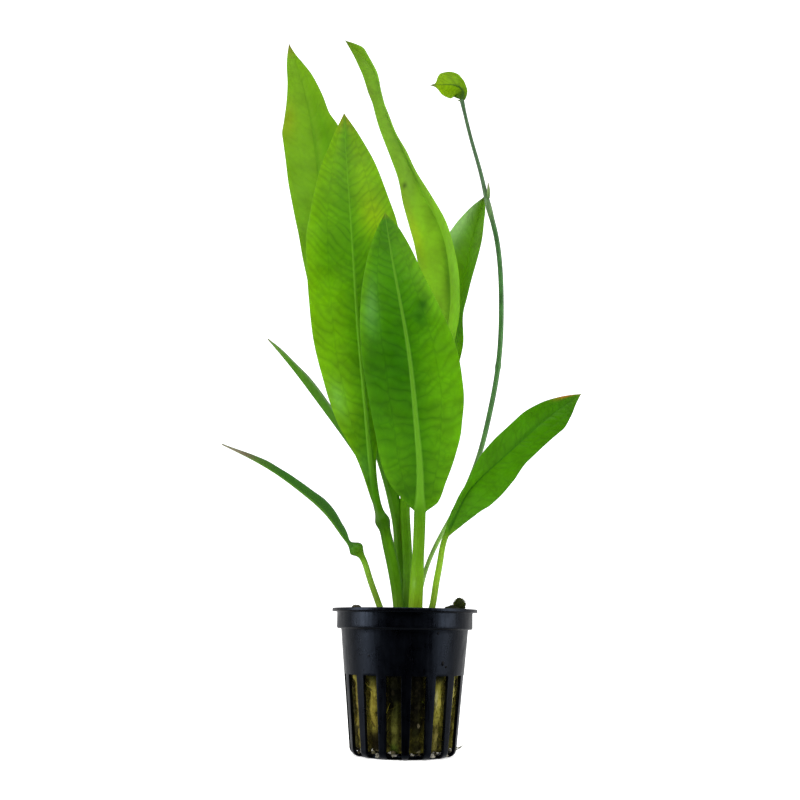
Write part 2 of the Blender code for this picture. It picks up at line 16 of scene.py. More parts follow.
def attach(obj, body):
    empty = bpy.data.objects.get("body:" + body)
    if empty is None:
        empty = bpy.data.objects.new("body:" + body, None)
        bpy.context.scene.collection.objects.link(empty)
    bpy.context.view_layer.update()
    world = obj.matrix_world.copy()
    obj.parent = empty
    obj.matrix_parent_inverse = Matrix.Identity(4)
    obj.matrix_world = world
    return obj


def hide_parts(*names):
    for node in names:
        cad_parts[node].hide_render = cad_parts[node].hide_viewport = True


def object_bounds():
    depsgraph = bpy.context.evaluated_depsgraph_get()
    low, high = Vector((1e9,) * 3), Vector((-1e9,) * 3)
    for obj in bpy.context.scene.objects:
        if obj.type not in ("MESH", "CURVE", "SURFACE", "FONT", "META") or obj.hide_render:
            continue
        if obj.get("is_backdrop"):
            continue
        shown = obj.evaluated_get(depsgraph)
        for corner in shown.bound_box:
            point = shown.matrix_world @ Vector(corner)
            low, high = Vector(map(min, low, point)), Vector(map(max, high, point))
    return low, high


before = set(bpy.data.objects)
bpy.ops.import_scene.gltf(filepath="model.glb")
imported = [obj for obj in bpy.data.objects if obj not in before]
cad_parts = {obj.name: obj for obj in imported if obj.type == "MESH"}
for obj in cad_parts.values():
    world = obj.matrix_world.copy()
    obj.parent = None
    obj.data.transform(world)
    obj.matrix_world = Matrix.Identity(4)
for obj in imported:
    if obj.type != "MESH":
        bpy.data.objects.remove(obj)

cad_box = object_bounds()
scene = bpy.context.scene
print("CAD nodes:", ", ".join(sorted(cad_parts)))

# %% [markdown]
# ## Curves through a few points
#
# A leaf's midrib is drawn as a dozen points, and its width as a short table. Straight lines
# between them would show as corners. Two kinds of curve fix that. A natural cubic spline is right for a
# route in space, because it bends as a thin strip does. A monotone cubic is right for a table of
# widths or angles, because it never swings past a value and so never makes a bulge that wasn't asked for.

# %% Splines
def spline(points, shares):
    """Natural cubic spline: each span is a straight line plus cubic terms whose bends match the next's."""
    points = np.asarray(points, float)
    knots = np.concatenate([[0], np.cumsum(np.linalg.norm(np.diff(points[:, :3], axis=0), axis=1))])
    knots /= knots[-1]
    spans = np.diff(knots)
    slopes = np.diff(points, axis=0) / spans[:, None]
    count = len(points)
    matrix = np.eye(count)
    inner = np.arange(1, count - 1)
    matrix[inner, inner - 1] = spans[:-1]
    matrix[inner, inner] = 2 * (spans[:-1] + spans[1:])
    matrix[inner, inner + 1] = spans[1:]
    right_side = np.zeros_like(points)
    right_side[1:-1] = 6 * np.diff(slopes, axis=0)
    bends = np.linalg.solve(matrix, right_side)
    span = np.clip(np.searchsorted(knots, shares, side="right") - 1, 0, count - 2)
    along, length = (shares - knots[span])[:, None], spans[span][:, None]
    before, after = bends[span], bends[span + 1]
    line = points[span] + along * (slopes[span] - length * (2 * before + after) / 6)
    return line + along**2 * before / 2 + along**3 * (after - before) / (6 * length)


def table(rows, shares):
    """Monotone cubic through every column of a table whose first column is the share."""
    rows = np.asarray(rows, float)
    knots, values = rows[:, 0], rows[:, 1:]
    spans = np.diff(knots)[:, None]
    slopes = np.diff(values, axis=0) / spans
    tangents = np.zeros_like(values)
    tangents[0], tangents[-1] = slopes[0], slopes[-1]
    near, far = 2 * spans[1:] + spans[:-1], spans[1:] + 2 * spans[:-1]
    same_way = slopes[:-1] * slopes[1:] > 0
    safe = np.where(same_way, slopes[:-1], 1), np.where(same_way, slopes[1:], 1)
    tangents[1:-1] = np.where(same_way, (near + far) / (near / safe[0] + far / safe[1]), 0)
    shares = np.clip(shares, knots[0], knots[-1])
    span = np.clip(np.searchsorted(knots, shares, side="right") - 1, 0, len(spans) - 1)
    u = ((shares - knots[span]) / spans[span, 0])[:, None]
    start = (2 * u**3 - 3 * u**2 + 1) * values[span] + (u**3 - 2 * u**2 + u) * spans[span] * tangents[span]
    end = (3 * u**2 - 2 * u**3) * values[span + 1] + (u**3 - u**2) * spans[span] * tangents[span + 1]
    return (start + end).T


def unit(vectors):
    return vectors / np.linalg.norm(vectors, axis=-1, keepdims=True)


def step(low, high, values):
    """Smooth step: 0 below low, 1 above high, and 3t^2 - 2t^3 between."""
    t = np.clip((values - low) / (high - low), 0, 1)
    return t * t * (3 - 2 * t)


print("middle of a straight route:", spline([(0, 0, 0), (0, 0, 1), (0, 0, 2)], np.array([0.5]))[0])

# %% [markdown]
# ## Unevenness
#
# Nothing on a plant is regular. Noise for whole arrays can be read from a lattice, or made as a sum of
# sine waves in random directions. The sum is chosen, because it's smooth, needs no lattice, and takes
# any number of points at once. Its random numbers come from a seed, so each run gives the same plant.

# %% Waves in random directions
def waves(points, length, seed, count=9):
    """Sum of sines, each along its own random direction, with wavelengths near length; about -1 to 1."""
    draw = np.random.default_rng(seed)
    dimensions = points.shape[-1]
    directions = unit(draw.normal(size=(count, dimensions)))
    numbers = 2 * np.pi / (length * draw.uniform(0.7, 1.5, count))
    turns = draw.uniform(0, 2 * np.pi, count)
    total = np.zeros(points.shape[:-1])
    for direction, number, turn in zip(directions, numbers, turns):
        total += np.sin(points @ direction * number + turn)
    return total / np.sqrt(2 * count)


print("waves at two points:", waves(np.array([[0.0, 0, 0], [0.01, 0, 0]]), 0.01, 1).round(3))

# %% [markdown]
# ## From a grid to a mesh
#
# Every soft surface here is a grid: rows along it and columns round it. One helper turns such an array
# into a closed mesh. Columns may wrap round, which makes a tube, and each open end is closed by a fan of
# triangles to its middle. Colours and vein measures are kept at the points as named attributes.

# %% Mesh helpers
def mesh_of(name, points, faces, smooth=True):
    """A mesh from an array of points and a list of index arrays, one array for each kind of face."""
    sizes = np.concatenate([np.full(len(block), block.shape[1]) for block in faces])
    loops = np.concatenate([block.ravel() for block in faces])
    mesh = bpy.data.meshes.new(name)
    mesh.vertices.add(len(points))
    mesh.vertices.foreach_set("co", points.astype(np.float32).ravel())
    mesh.loops.add(len(loops))
    mesh.loops.foreach_set("vertex_index", loops.astype(np.int32))
    mesh.polygons.add(len(sizes))
    mesh.polygons.foreach_set("loop_start", np.concatenate([[0], np.cumsum(sizes)[:-1]]).astype(np.int32))
    mesh.update(calc_edges=True)
    mesh.validate()
    if smooth:
        mesh.shade_smooth()
    return mesh


def ring_quads(index):
    """Quads between neighbouring rows of point numbers, where each row is a closed ring."""
    here, after = index[..., :-1, :], index[..., 1:, :]
    return np.stack([here, np.roll(here, -1, -1), np.roll(after, -1, -1), after], axis=-1)


def tube_faces(rows, columns):
    """Quads of a grid whose columns wrap round, and a fan at each end to the two points after the grid."""
    index = np.arange(rows * columns).reshape(rows, columns)
    quads = ring_quads(index).reshape(-1, 4)
    first, last = np.full(columns, rows * columns), np.full(columns, rows * columns + 1)
    start = np.stack([np.roll(index[0], -1), index[0], first], axis=-1)
    end = np.stack([index[-1], np.roll(index[-1], -1), last], axis=-1)
    return [quads, start, end]


def with_ends(grid):
    """The grid's points in one list, followed by the middle of its first row and of its last row."""
    middles = [grid[0].mean(axis=0), grid[-1].mean(axis=0)]
    return np.concatenate([grid.reshape(-1, grid.shape[-1]), middles])


def keep(mesh, name, kind, field, values):
    """Stores an array of values at the mesh's points."""
    layer = mesh.attributes.new(name, kind, "POINT")
    layer.data.foreach_set(field, values.astype(np.float32).ravel())


def keep_paint(mesh, colours):
    """Stores a colour at each of the mesh's points, with an alpha of 1."""
    alpha = np.ones((len(colours), 1))
    keep(mesh, "paint", "FLOAT_COLOR", "color", np.concatenate([colours, alpha], axis=1))


def keep_uv(mesh, places):
    """A UV map that gives each face corner the place of its point."""
    corners = np.empty(len(mesh.loops), np.int32)
    mesh.loops.foreach_get("vertex_index", corners)
    layer = mesh.uv_layers.new(name="surface")
    layer.data.foreach_set("uv", places[corners].astype(np.float32).ravel())


def add_object(name, data):
    made = bpy.data.objects.new(name, data)
    scene.collection.objects.link(made)
    return made


def piece(name, mesh, material, replaces=(), paint=None):
    """Puts the mesh in the scene as a part of the plant, in place of the CAD nodes that it stands for."""
    made = add_object(name, mesh)
    if paint is not None:
        keep_paint(mesh, paint)
    mesh.materials.append(material)
    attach(made, "root")
    if replaces:
        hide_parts(*replaces)
    print(f"{name}: {len(mesh.vertices)} points, {len(mesh.polygons)} faces")
    return made


def grid_piece(name, grid, paint, material, replaces=()):
    """A tube made from a grid of points and its colours, closed at both ends."""
    mesh = mesh_of(name, with_ends(grid), tube_faces(*grid.shape[:2]))
    piece(name, mesh, material, replaces, with_ends(paint))


# %% [markdown]
# ## Node helpers
#
# A procedural finish is a small sum of noises, lines and colours. Written link by link it fills pages,
# so a few short functions build one node each and return its output, and a finish then reads as a
# sentence. Colours are named by their screen values from 0 to 255, which is how a painter would mix
# them, and turned into the linear values that the shaders use.

# %% Colours and nodes
def screen(red, green, blue):
    """Linear colour from screen values: a power of 2.4 above a short straight stretch."""
    values = np.array([red, green, blue]) / 255
    return np.where(values > 0.04045, ((values + 0.055) / 1.055) ** 2.4, values / 12.92)


def feed(tree, socket, value):
    """Links an output to a socket, or sets the socket to a constant; a colour gets an alpha of 1."""
    if isinstance(value, bpy.types.NodeSocket):
        tree.links.new(value, socket)
    elif np.ndim(value) == 1 and len(value) == 3 and socket.type == "RGBA":
        socket.default_value = (*value, 1)
    else:
        socket.default_value = value


def feed_all(tree, node, values):
    for name, value in values.items():
        feed(tree, node.inputs[name], value)


def calc(tree, operation, first, second=0.0, third=0.0, clamp=False):
    node = tree.nodes.new("ShaderNodeMath")
    node.operation = operation
    node.use_clamp = clamp
    for socket, value in zip(node.inputs, (first, second, third)):
        feed(tree, socket, value)
    return node.outputs[0]


def times(tree, first, second):
    return calc(tree, "MULTIPLY", first, second)


def blend(tree, share, first, second, how="MIX"):
    node = tree.nodes.new("ShaderNodeMix")
    node.data_type = "RGBA"
    node.blend_type = how
    feed(tree, node.inputs[0], share)
    feed(tree, node.inputs[6], first)
    feed(tree, node.inputs[7], second)
    return node.outputs[2]


def tinged(tree, colour, tinge):
    return blend(tree, 1.0, colour, tinge, "MULTIPLY")


def spread(tree, value, low, high, to_low=0.0, to_high=1.0, smooth=True):
    """Maps low..high to to_low..to_high, held at both ends."""
    node = tree.nodes.new("ShaderNodeMapRange")
    node.interpolation_type = "SMOOTHSTEP" if smooth else "LINEAR"
    for socket, number in zip(node.inputs, (value, low, high, to_low, to_high)):
        feed(tree, socket, number)
    return node.outputs[0]


def cloud(tree, size, detail=2.0, stretch=(1, 1, 1), rough=0.5):
    """Noise on the object's own coordinates, with blotches about this size in metres."""
    where = tree.nodes.new("ShaderNodeTexCoord").outputs["Object"]
    if stretch != (1, 1, 1):
        scaled = tree.nodes.new("ShaderNodeMapping")
        feed_all(tree, scaled, {"Vector": where, "Scale": stretch})
        where = scaled.outputs[0]
    node = tree.nodes.new("ShaderNodeTexNoise")
    feed_all(tree, node, {"Vector": where, "Scale": 1 / size, "Detail": detail, "Roughness": rough})
    return node.outputs["Fac"]


def mottled(tree, low, high, size, detail=2.0, stretch=(1, 1, 1)):
    """Noise stretched to run from low to high."""
    return spread(tree, cloud(tree, size, detail, stretch), 0.3, 0.7, low, high)


def grey(tree, value):
    """A colour with this value in all three channels."""
    node = tree.nodes.new("ShaderNodeCombineColor")
    for socket in node.inputs[:3]:
        feed(tree, socket, value)
    return node.outputs[0]


def split(tree, vector):
    node = tree.nodes.new("ShaderNodeSeparateXYZ")
    feed(tree, node.inputs[0], vector)
    return node.outputs


def stored(tree, name, output="Color"):
    node = tree.nodes.new("ShaderNodeAttribute")
    node.attribute_name = name
    return node.outputs[output]


def bump(tree, height, depth):
    """A bump whose height of 0 to 1 stands for this depth in metres."""
    node = tree.nodes.new("ShaderNodeBump")
    feed_all(tree, node, {"Distance": depth, "Strength": 1.0, "Height": height})
    return node.outputs["Normal"]


def new_finish(name):
    """A material with its Principled shader; returns the material, its tree and the shader."""
    finish = bpy.data.materials.new(name)
    finish.use_nodes = True
    tree = finish.node_tree
    return finish, tree, tree.nodes["Principled BSDF"]


def let_light_through(tree, shader, colour, share):
    """Mixes in a Translucent shader, which sends light out of the far side, as thin tissue does."""
    through = tree.nodes.new("ShaderNodeBsdfTranslucent")
    feed(tree, through.inputs["Color"], colour)
    mixed = tree.nodes.new("ShaderNodeMixShader")
    for socket, value in zip(mixed.inputs, (share, shader.outputs[0], through.outputs[0])):
        feed(tree, socket, value)
    feed(tree, tree.nodes["Material Output"].inputs["Surface"], mixed.outputs[0])


print("a leaf green in linear values:", screen(110, 160, 30).round(3))

# %% [markdown]
# ## The leaves' finish
#
# A sword leaf is thin, wet and waxy. Most of its green is light that comes through from behind, so where
# two leaves overlap the green deepens. On that sits a net of veins: the midrib, long veins that follow
# the margin, and many short rungs between them. An image of a leaf could be laid on, but it would
# repeat on every leaf. Here the mesh stores where each point lies in the net, and nodes draw fine lines
# from that, so the lines stay crisp however the leaf bends.

# %% Leaf finish
LONG_VEINS = ((0.53, 0.9), (0.80, 0.35))
LONG_VEIN_HALF = 0.030
RUNG_HALF = 0.16
CRACKLE = 0.0034
CRACKLE_HALF = 0.16
VEIN_TINGE = (0.42, 0.60, 0.60)
GLOW_TINGE = (1.30, 1.22, 0.45)
PATCHES = (0.90, 1.10)
GRAIN = (0.96, 1.04)
LEAF_ROUGHNESS = (0.31, 0.48)
LEAF_BUMP = 0.00004


def leaf_finish(name, rib_colour, lines, rib, through=0.48, cells=0.08, rib_from=-0.1):
    """Painted colour, darkened on the veins, paler on the midrib, mottled, waxy and translucent."""
    finish, tree, shader = new_finish(name)
    paint = stored(tree, "paint")
    rung, on_rib, on_blade = split(tree, stored(tree, "veins", "Vector"))
    uv = tree.nodes.new("ShaderNodeUVMap")
    uv.uv_map = "surface"
    across, along, _ = split(tree, uv.outputs[0])
    wander = times(tree, calc(tree, "SUBTRACT", cloud(tree, 0.02), 0.5), 0.10)
    out = calc(tree, "ABSOLUTE", calc(tree, "MULTIPLY_ADD", across, 2.0, -1.0))
    out = calc(tree, "ADD", out, wander)
    nearness = calc(tree, "ABSOLUTE", calc(tree, "SUBTRACT", calc(tree, "FRACT", rung), 0.5))
    fading = spread(tree, cloud(tree, 0.008, 1), 0.36, 0.64, 0.12, 1.0)
    net = times(tree, spread(tree, nearness, 0.5 - RUNG_HALF, 0.5), fading)
    crackle = tree.nodes.new("ShaderNodeTexVoronoi")
    crackle.feature = "DISTANCE_TO_EDGE"
    where = tree.nodes.new("ShaderNodeTexCoord").outputs["Object"]
    feed_all(tree, crackle, {"Vector": where, "Scale": 1 / CRACKLE})
    between = calc(tree, "MULTIPLY_ADD", fading, -0.8, 0.85)
    crackles = spread(tree, crackle.outputs["Distance"], 0.0, CRACKLE_HALF, 1.0, 0.0)
    net = calc(tree, "MAXIMUM", net, times(tree, crackles, between))
    net = times(tree, net, spread(tree, out, 0.80, 1.0, 1.0, 0.15))
    for at, weight in LONG_VEINS:
        distance = calc(tree, "ABSOLUTE", calc(tree, "SUBTRACT", out, at))
        net = calc(tree, "MAXIMUM", net, spread(tree, distance, 0.0, LONG_VEIN_HALF, weight, 0.0))
    net = times(tree, net, on_blade)
    net = times(tree, net, calc(tree, "SUBTRACT", 1.0, on_rib, clamp=True))
    colour = blend(tree, times(tree, net, lines), paint, tinged(tree, paint, VEIN_TINGE))
    swollen_cells = times(tree, spread(tree, nearness, 0.0, 0.5, cells, -cells), on_blade)
    patches = calc(tree, "ADD", mottled(tree, *PATCHES, 0.011, 3), swollen_cells)
    grain = mottled(tree, *GRAIN, 0.0016)
    colour = tinged(tree, colour, grey(tree, times(tree, patches, grain)))
    rib_fades = spread(tree, along, 0.35, 1.0, rib, rib * 0.45, smooth=False)
    rib_fades = times(tree, rib_fades, spread(tree, along, rib_from, rib_from + 0.1))
    colour = blend(tree, times(tree, times(tree, on_rib, on_blade), rib_fades), colour, rib_colour)
    relief = calc(tree, "SUBTRACT", cloud(tree, 0.0035, 1), times(tree, net, 0.8))
    feed_all(tree, shader, {
        "Base Color": colour, "Normal": bump(tree, relief, LEAF_BUMP),
        "Roughness": mottled(tree, *LEAF_ROUGHNESS, 0.004), "IOR": 1.42,
        "Specular IOR Level": 0.18, "Specular Tint": (0.85, 1.0, 0.60),
    })
    let_light_through(tree, shader, tinged(tree, colour, GLOW_TINGE), through)
    return finish


# %% [markdown]
# ## A leaf as one grid
#
# The stalk is a round rod, and the blade is a plate folded along a raised midrib. Made apart, they would
# need a joint that nature doesn't have. Here both are the same closed ring of points that changes shape
# along the way. The ring follows the leaf's middle surface and stands off it on both sides by half the
# thickness: a half circle on the stalk, and a thin plate with a rib on the blade. Between the veins the
# tissue swells a little, which is the quilting that catches the light.

# %% Leaf surface
MM = 0.001
STALK_ROWS = 90
BLADE_ROWS = 300
HALF_COLUMNS = 34
CROWDING = 1.35
EDGE_PLACES = (0.984, 0.996)
HALF_PLATE = 0.00026
LEAST_HALF_WIDTH = 0.00016
STALK_FLATTENS = (-0.02, 0.05)
STALK_RIDGES = 0.05
STALK_RIDGE_COUNT = 7
RIB_TAPER = (
    (0, 1.0), (0.04, 0.70), (0.12, 0.52), (0.25, 0.39), (0.45, 0.30), (0.65, 0.22), (0.85, 0.14), (1, 0.05),
)
RIB_RISE = 0.85
RIB_GROOVE = 0.18
BEND_RIBS = 1.3
BEND_LEAST = 0.00005
PLAIN_RUNGS = (4, 0.25, 0.75)
PLAIN_RIPPLE = (0.4, 16)
RIPPLE_HALF_WIDTH = 0.0045


def midrib_frame(route, shares):
    """Points on the midrib, the direction across, and the front: -Y without its part along the midrib."""
    ahead, behind = np.clip(shares + 1e-3, 0, 1), np.clip(shares - 1e-3, 0, 1)
    along = unit(spline(route, ahead) - spline(route, behind))
    towards = np.array([0.0, -1.0, 0.0])
    front = unit(towards - (along @ towards)[:, None] * along)
    return spline(route, shares), np.cross(along, front), front


def leaf_ring(half_columns):
    """Places across the leaf, -1 to 1, once over the front face and back over the other, and the face."""
    even = np.linspace(0, 1, half_columns + 1) ** CROWDING
    half = np.sort(np.concatenate([even, EDGE_PLACES]))
    front = np.concatenate([-half[:0:-1], half])
    ring = np.concatenate([front, front[-2:0:-1]])
    face = np.concatenate([[0], np.ones(len(front) - 2), [0], -np.ones(len(front) - 2)])
    return ring, face


def leaf_shape(leaf, stalk_rows=STALK_ROWS, blade_rows=BLADE_ROWS, half_columns=HALF_COLUMNS):
    """Points of the leaf, and what its paint and its finish need to know at each of them.

    Each half leaves the midrib flat and bends to its fold angle within the rib's width. A point lies its
    reach times cos(angle) across, and sin(fold) times the reach beyond the rib lifts it forward. The
    thickness then goes along the normal.
    """
    joins = leaf["joins"]
    shares = np.concatenate([np.linspace(0, joins, stalk_rows, endpoint=False),
                             np.linspace(joins, 1, blade_rows)])
    past_stalk = (shares - joins) / (1 - joins)
    on_blade = np.clip(past_stalk, 0, 1)
    ring, face = leaf_ring(half_columns)
    (radius,) = MM * table(leaf["stalk"], shares)
    left, right, turn, left_fold, right_fold = table(leaf["blade"], on_blade)
    left = np.maximum(np.where(shares < joins, radius, MM * left), LEAST_HALF_WIDTH)
    right = np.maximum(np.where(shares < joins, radius, MM * right), LEAST_HALF_WIDTH)
    flat = step(*STALK_FLATTENS, past_stalk)[:, None]
    (taper,) = table(RIB_TAPER, on_blade)
    rib = np.minimum(radius * taper, 0.9 * np.minimum(left, right))[:, None]
    centre, across, front = midrib_frame(MM * np.array(leaf["route"]), shares)
    lengths = np.linalg.norm(np.diff(centre, axis=0), axis=1)
    arc = np.concatenate([[0], np.cumsum(lengths)])
    arc = (arc - np.interp(joins, shares, arc))[:, None]

    width = np.where(ring < 0, left[:, None], right[:, None])
    reach = np.abs(ring) * width
    fold = np.radians(np.where(ring < 0, left_fold[:, None], right_fold[:, None])) * flat
    bend_width = BEND_RIBS * rib + BEND_LEAST
    bend = np.tanh(reach / bend_width)
    aside = np.sign(ring) * reach * np.cos(fold * bend)
    forward = (reach - bend_width * bend) * np.sin(fold)
    bow = leaf["bow"] * width * (1 - (2 * np.abs(ring) - 1) ** 2) * flat
    cos_turn, sin_turn = np.cos(np.radians(turn))[:, None], np.sin(np.radians(turn))[:, None]
    across, front = cos_turn * across + sin_turn * front, cos_turn * front - sin_turn * across
    across, front = across[:, None], front[:, None]
    lean = (fold * bend * np.sign(ring))[..., None]
    normal = np.cos(lean) * front - np.sin(lean) * across

    rim = np.sqrt(np.clip(1 - ring**2, 0, 1))
    plate = np.minimum(HALF_PLATE, np.minimum(left, right)[:, None]) * np.sqrt(1 - ring**8)
    swell = np.sqrt(np.clip(1 - (reach / rib) ** 2, 0, 1))
    rib_face = 1 if leaf["ribbed"] else -1
    groove = RIB_GROOVE * rib * np.exp(-((reach / rib) ** 2))
    rib_height = np.where(face == rib_face, RIB_RISE * rib * swell, -groove)
    ridges = 1 + STALK_RIDGES * np.cos(STALK_RIDGE_COUNT * np.arctan2(face * rim, ring))
    thickness = (1 - flat) * radius[:, None] * rim * ridges + flat * (plate + rib_height)
    rung = vein_rungs(leaf, arc, on_blade, ring, reach)
    relief = leaf_relief(leaf, arc, on_blade, ring, rung, width, rib_face) * flat
    points = centre[:, None] + aside[..., None] * across + forward[..., None] * front
    points = points + (face * thickness + relief + bow)[..., None] * normal
    if "knot" in leaf:
        points = swollen(points, centre, shares, *leaf["knot"])
    values = dict(ring=ring, share=shares[:, None], flat=flat, rib=step(1.35, 0.75, reach / rib), rung=rung)
    return points, {name: np.broadcast_to(value, reach.shape) for name, value in values.items()}


def vein_rungs(leaf, arc, on_blade, ring, reach):
    """Counts the rungs along the blade: a whole number lies on a rung. A rung rises as it goes outward."""
    spacing, low_rise, high_rise = leaf.get("rungs", PLAIN_RUNGS)
    rise = (low_rise + (high_rise - low_rise) * step(0.15, 0.7, on_blade))[:, None]
    height = arc - rise * reach * (0.85 + 0.3 * np.abs(ring))
    where = np.stack([height, np.sign(ring) * reach * 0.8], axis=-1)
    seed = leaf["seed"]
    wander = 0.42 * waves(where, 0.014, seed) + 0.24 * waves(where, 0.005, seed + 50)
    return height / (MM * spacing) + wander + 0.5 * (ring > 0) + 0.45 * (np.abs(ring) > LONG_VEINS[0][0])


def leaf_relief(leaf, arc, on_blade, ring, rung, width, rib_face):
    """Lift of both faces: swollen cells between the veins, and a ripple that grows towards the margin."""
    inside = np.abs(ring)
    cell = np.sin(np.pi * np.abs(rung - np.round(rung))) ** 0.8
    lane = np.abs(np.sin(np.pi * np.clip(inside / LONG_VEINS[0][0], 0, 2))) ** 0.5
    on_blade = on_blade[:, None]
    quilt = MM * leaf["quilt"] * cell * lane * step(0.0, 0.12, 1 - inside)
    quilt = quilt * step(0, 0.06, on_blade) * step(0, 0.10, 1 - on_blade)
    size, length = leaf.get("ripple", PLAIN_RIPPLE)
    where = np.stack(np.broadcast_arrays(arc, 0.31 * (ring > 0)), axis=-1)
    ripple = MM * size * waves(where, MM * length, leaf["seed"] + 7) * inside**2.5
    ripple = ripple * step(0, 0.12, on_blade) * step(0, RIPPLE_HALF_WIDTH, width)
    return ripple - rib_face * quilt


def swollen(points, centre, shares, share, length, amount):
    """Pushes points away from the centre line in a bell-shaped knot at this share."""
    push = amount * np.exp(-(((shares - share) / length) ** 2))
    return centre[:, None] + (points - centre[:, None]) * (1 + push)[:, None, None]


# %% [markdown]
# ## Painting a leaf
#
# Seen close, a leaf isn't one green. The stalk is paler than the blade, the margin yellows and an old tip
# dries to brown. The large changes are painted at the points: first a colour along the leaf, then one for
# the margin and one for the middle, then soft spots, each given by its share of the leaf, its place across,
# its two sizes, its colour and its strength. Many spots are painted light and shade, not the leaf's own
# colour: pale blue-green painted highlights, lighter painted light, and painted shade where a leaf folds or
# lies over another. Nodes add all the fine grain.

# %% Leaf paint
def colours_along(rows, shares):
    """Colours on straight lines between the rows of a table of share, red, green and blue."""
    places = [row[0] for row in rows]
    channels = np.transpose([screen(*row[1:]) for row in rows])
    return np.stack([np.interp(shares, places, channel) for channel in channels], -1)


def tinted(colour, weight, tint):
    return colour + weight[..., None] * (screen(*tint) - colour)


def painted(leaf, values):
    """Colour at every point: along the leaf, then margin and middle, then each spot, own colour or painted
    light or shade, by a bell curve.
    """
    ring, share, flat = values["ring"], values["share"], values["flat"]
    inside = np.abs(ring)
    colour = colours_along(leaf["along"], share)
    if "margin" in leaf:
        tint, start, strength = leaf["margin"]
        colour = tinted(colour, strength * step(start, 1.0, inside) * flat, tint)
    if "middle" in leaf:
        tint, end, strength = leaf["middle"]
        colour = tinted(colour, strength * (1 - step(0, end, inside)) * flat, tint)
    for at, place, long_size, wide_size, tint, strength in leaf.get("spots_and_painted_light", ()):
        far = ((share - at) / long_size) ** 2 + ((ring - place) / wide_size) ** 2
        colour = tinted(colour, strength * np.exp(-far), tint)
    return np.clip(colour, 0, 1)


def make_leaf(name, leaf, finish, slot, **sizes):
    """Builds one leaf in place of its CAD node."""
    points, values = leaf_shape(leaf, **sizes)
    mesh = mesh_of(name, with_ends(points), tube_faces(*points.shape[:2]))
    keep_paint(mesh, with_ends(painted(leaf, values)))
    veins = np.stack([values["rung"], values["rib"], values["flat"]], axis=-1)
    keep(mesh, "veins", "FLOAT_VECTOR", "vector", with_ends(veins))
    keep_uv(mesh, with_ends(np.stack([values["ring"] / 2 + 0.5, values["share"]], axis=-1)))
    piece(name, mesh, finish, (name,))


# %% [markdown]
# ## The tall leaves
#
# Two leaves stand in front and turn their undersides to us, so their midribs stand out and their veins
# show dark against the light behind. The others turn their upper sides. Each leaf's route and widths
# are the CAD model's, and the fine surface is added to them.
#
# In the tables of this lesson, lengths are in millimetres, angles in degrees and colours in screen
# values; outside them lengths are in metres. Places along a leaf, and the sizes of its spots and knots,
# are shares. A blade's row gives the share of the blade, the left and the right half width, the turn
# about the midrib, and the folds of the left and the right half.

# %% The broad leaf on the left and the one in front of it
FOOT = 41.3


def alike(*rows):
    """Rows for a blade that isn't turned and has the same fold on both sides."""
    return [(share, left, right, 0, fold, fold) for share, left, right, fold in rows]


def edge_on(*rows):
    """Rows for a blade that is turned edge-on and is the same on both sides."""
    return [(share, half, half, -90, fold, fold) for share, half, fold in rows]


BROAD_LEFT = dict(
    ribbed=True, seed=3, bow=0.035, quilt=0.08, rungs=(3.9, 0.45, 1), joins=0.235,
    knot=(0.201, 0.012, 0.6), margin=((112, 160, 5), 0.62, 0.5), middle=((62, 128, 2), 0.55, 0.6),
    route=(
        (-2.1, -3.2, FOOT), (-2.4, -3.5, 51), (-4.2, -4, 64), (-6.6, -4.5, 74), (-8.1, -4.8, 79.8),
        (-9.9, -5.1, 85), (-11.8, -5.5, 93), (-14.4, -7.5, 113.5), (-18.4, -10.5, 150),
        (-20.8, -10.5, 177), (-23, -9, 202), (-24.9, -6, 223), (-26.2, -3, 240),
    ),
    stalk=((0, 1.7), (0.05, 1.9), (0.11, 2.2), (0.16, 2.1), (0.2, 1.7), (0.235, 1.5)),
    blade=alike(
        (0, 1.5, 1.5, -6), (0.06, 3, 1.7, -6), (0.12, 5.6, 2.6, -8), (0.2, 11.1, 8.1, -10),
        (0.3, 14.7, 13.4, -10), (0.42, 17.3, 17, -8), (0.55, 17.9, 18.3, -8), (0.66, 17.4, 17.9, -8),
        (0.76, 14.2, 14.9, -8), (0.86, 9.9, 10.6, -10), (0.94, 4.6, 5.3, -10), (1, 0, 0, -10),
    ),
    along=(
        (0, 130, 165, 60), (0.08, 82, 135, 12), (0.2, 56, 105, 2), (0.26, 66, 122, 4),
        (0.33, 76, 132, 5), (0.41, 102, 156, 8), (0.65, 104, 160, 4), (0.8, 94, 148, 3),
        (0.95, 106, 152, 4), (0.985, 125, 140, 15), (1, 130, 98, 35),
    ),
    # The two yellow spots are the leaf's own colour; the pale blue-green spot low on the left half and the
    # pale grey spot at the knuckle are painted highlights.
    spots_and_painted_light=(
        (0.775, 0.52, 0.045, 0.28, (150, 180, 0), 0.8), (0.86, 0.45, 0.075, 0.45, (122, 164, 0), 0.6),
        (0.43, -0.75, 0.03, 0.2, (118, 170, 70), 0.6), (0.7, -0.45, 0.06, 0.3, (58, 125, 2), 0.5),
        (0.55, 0.55, 0.16, 0.45, (70, 140, 5), 0.6), (0.3, -0.5, 0.025, 0.6, (80, 140, 45), 0.5),
        (0.22, -0.9, 0.02, 0.5, (120, 130, 95), 0.3), (0.145, 0.3, 0.03, 0.5, (95, 155, 20), 0.6),
    ),
)

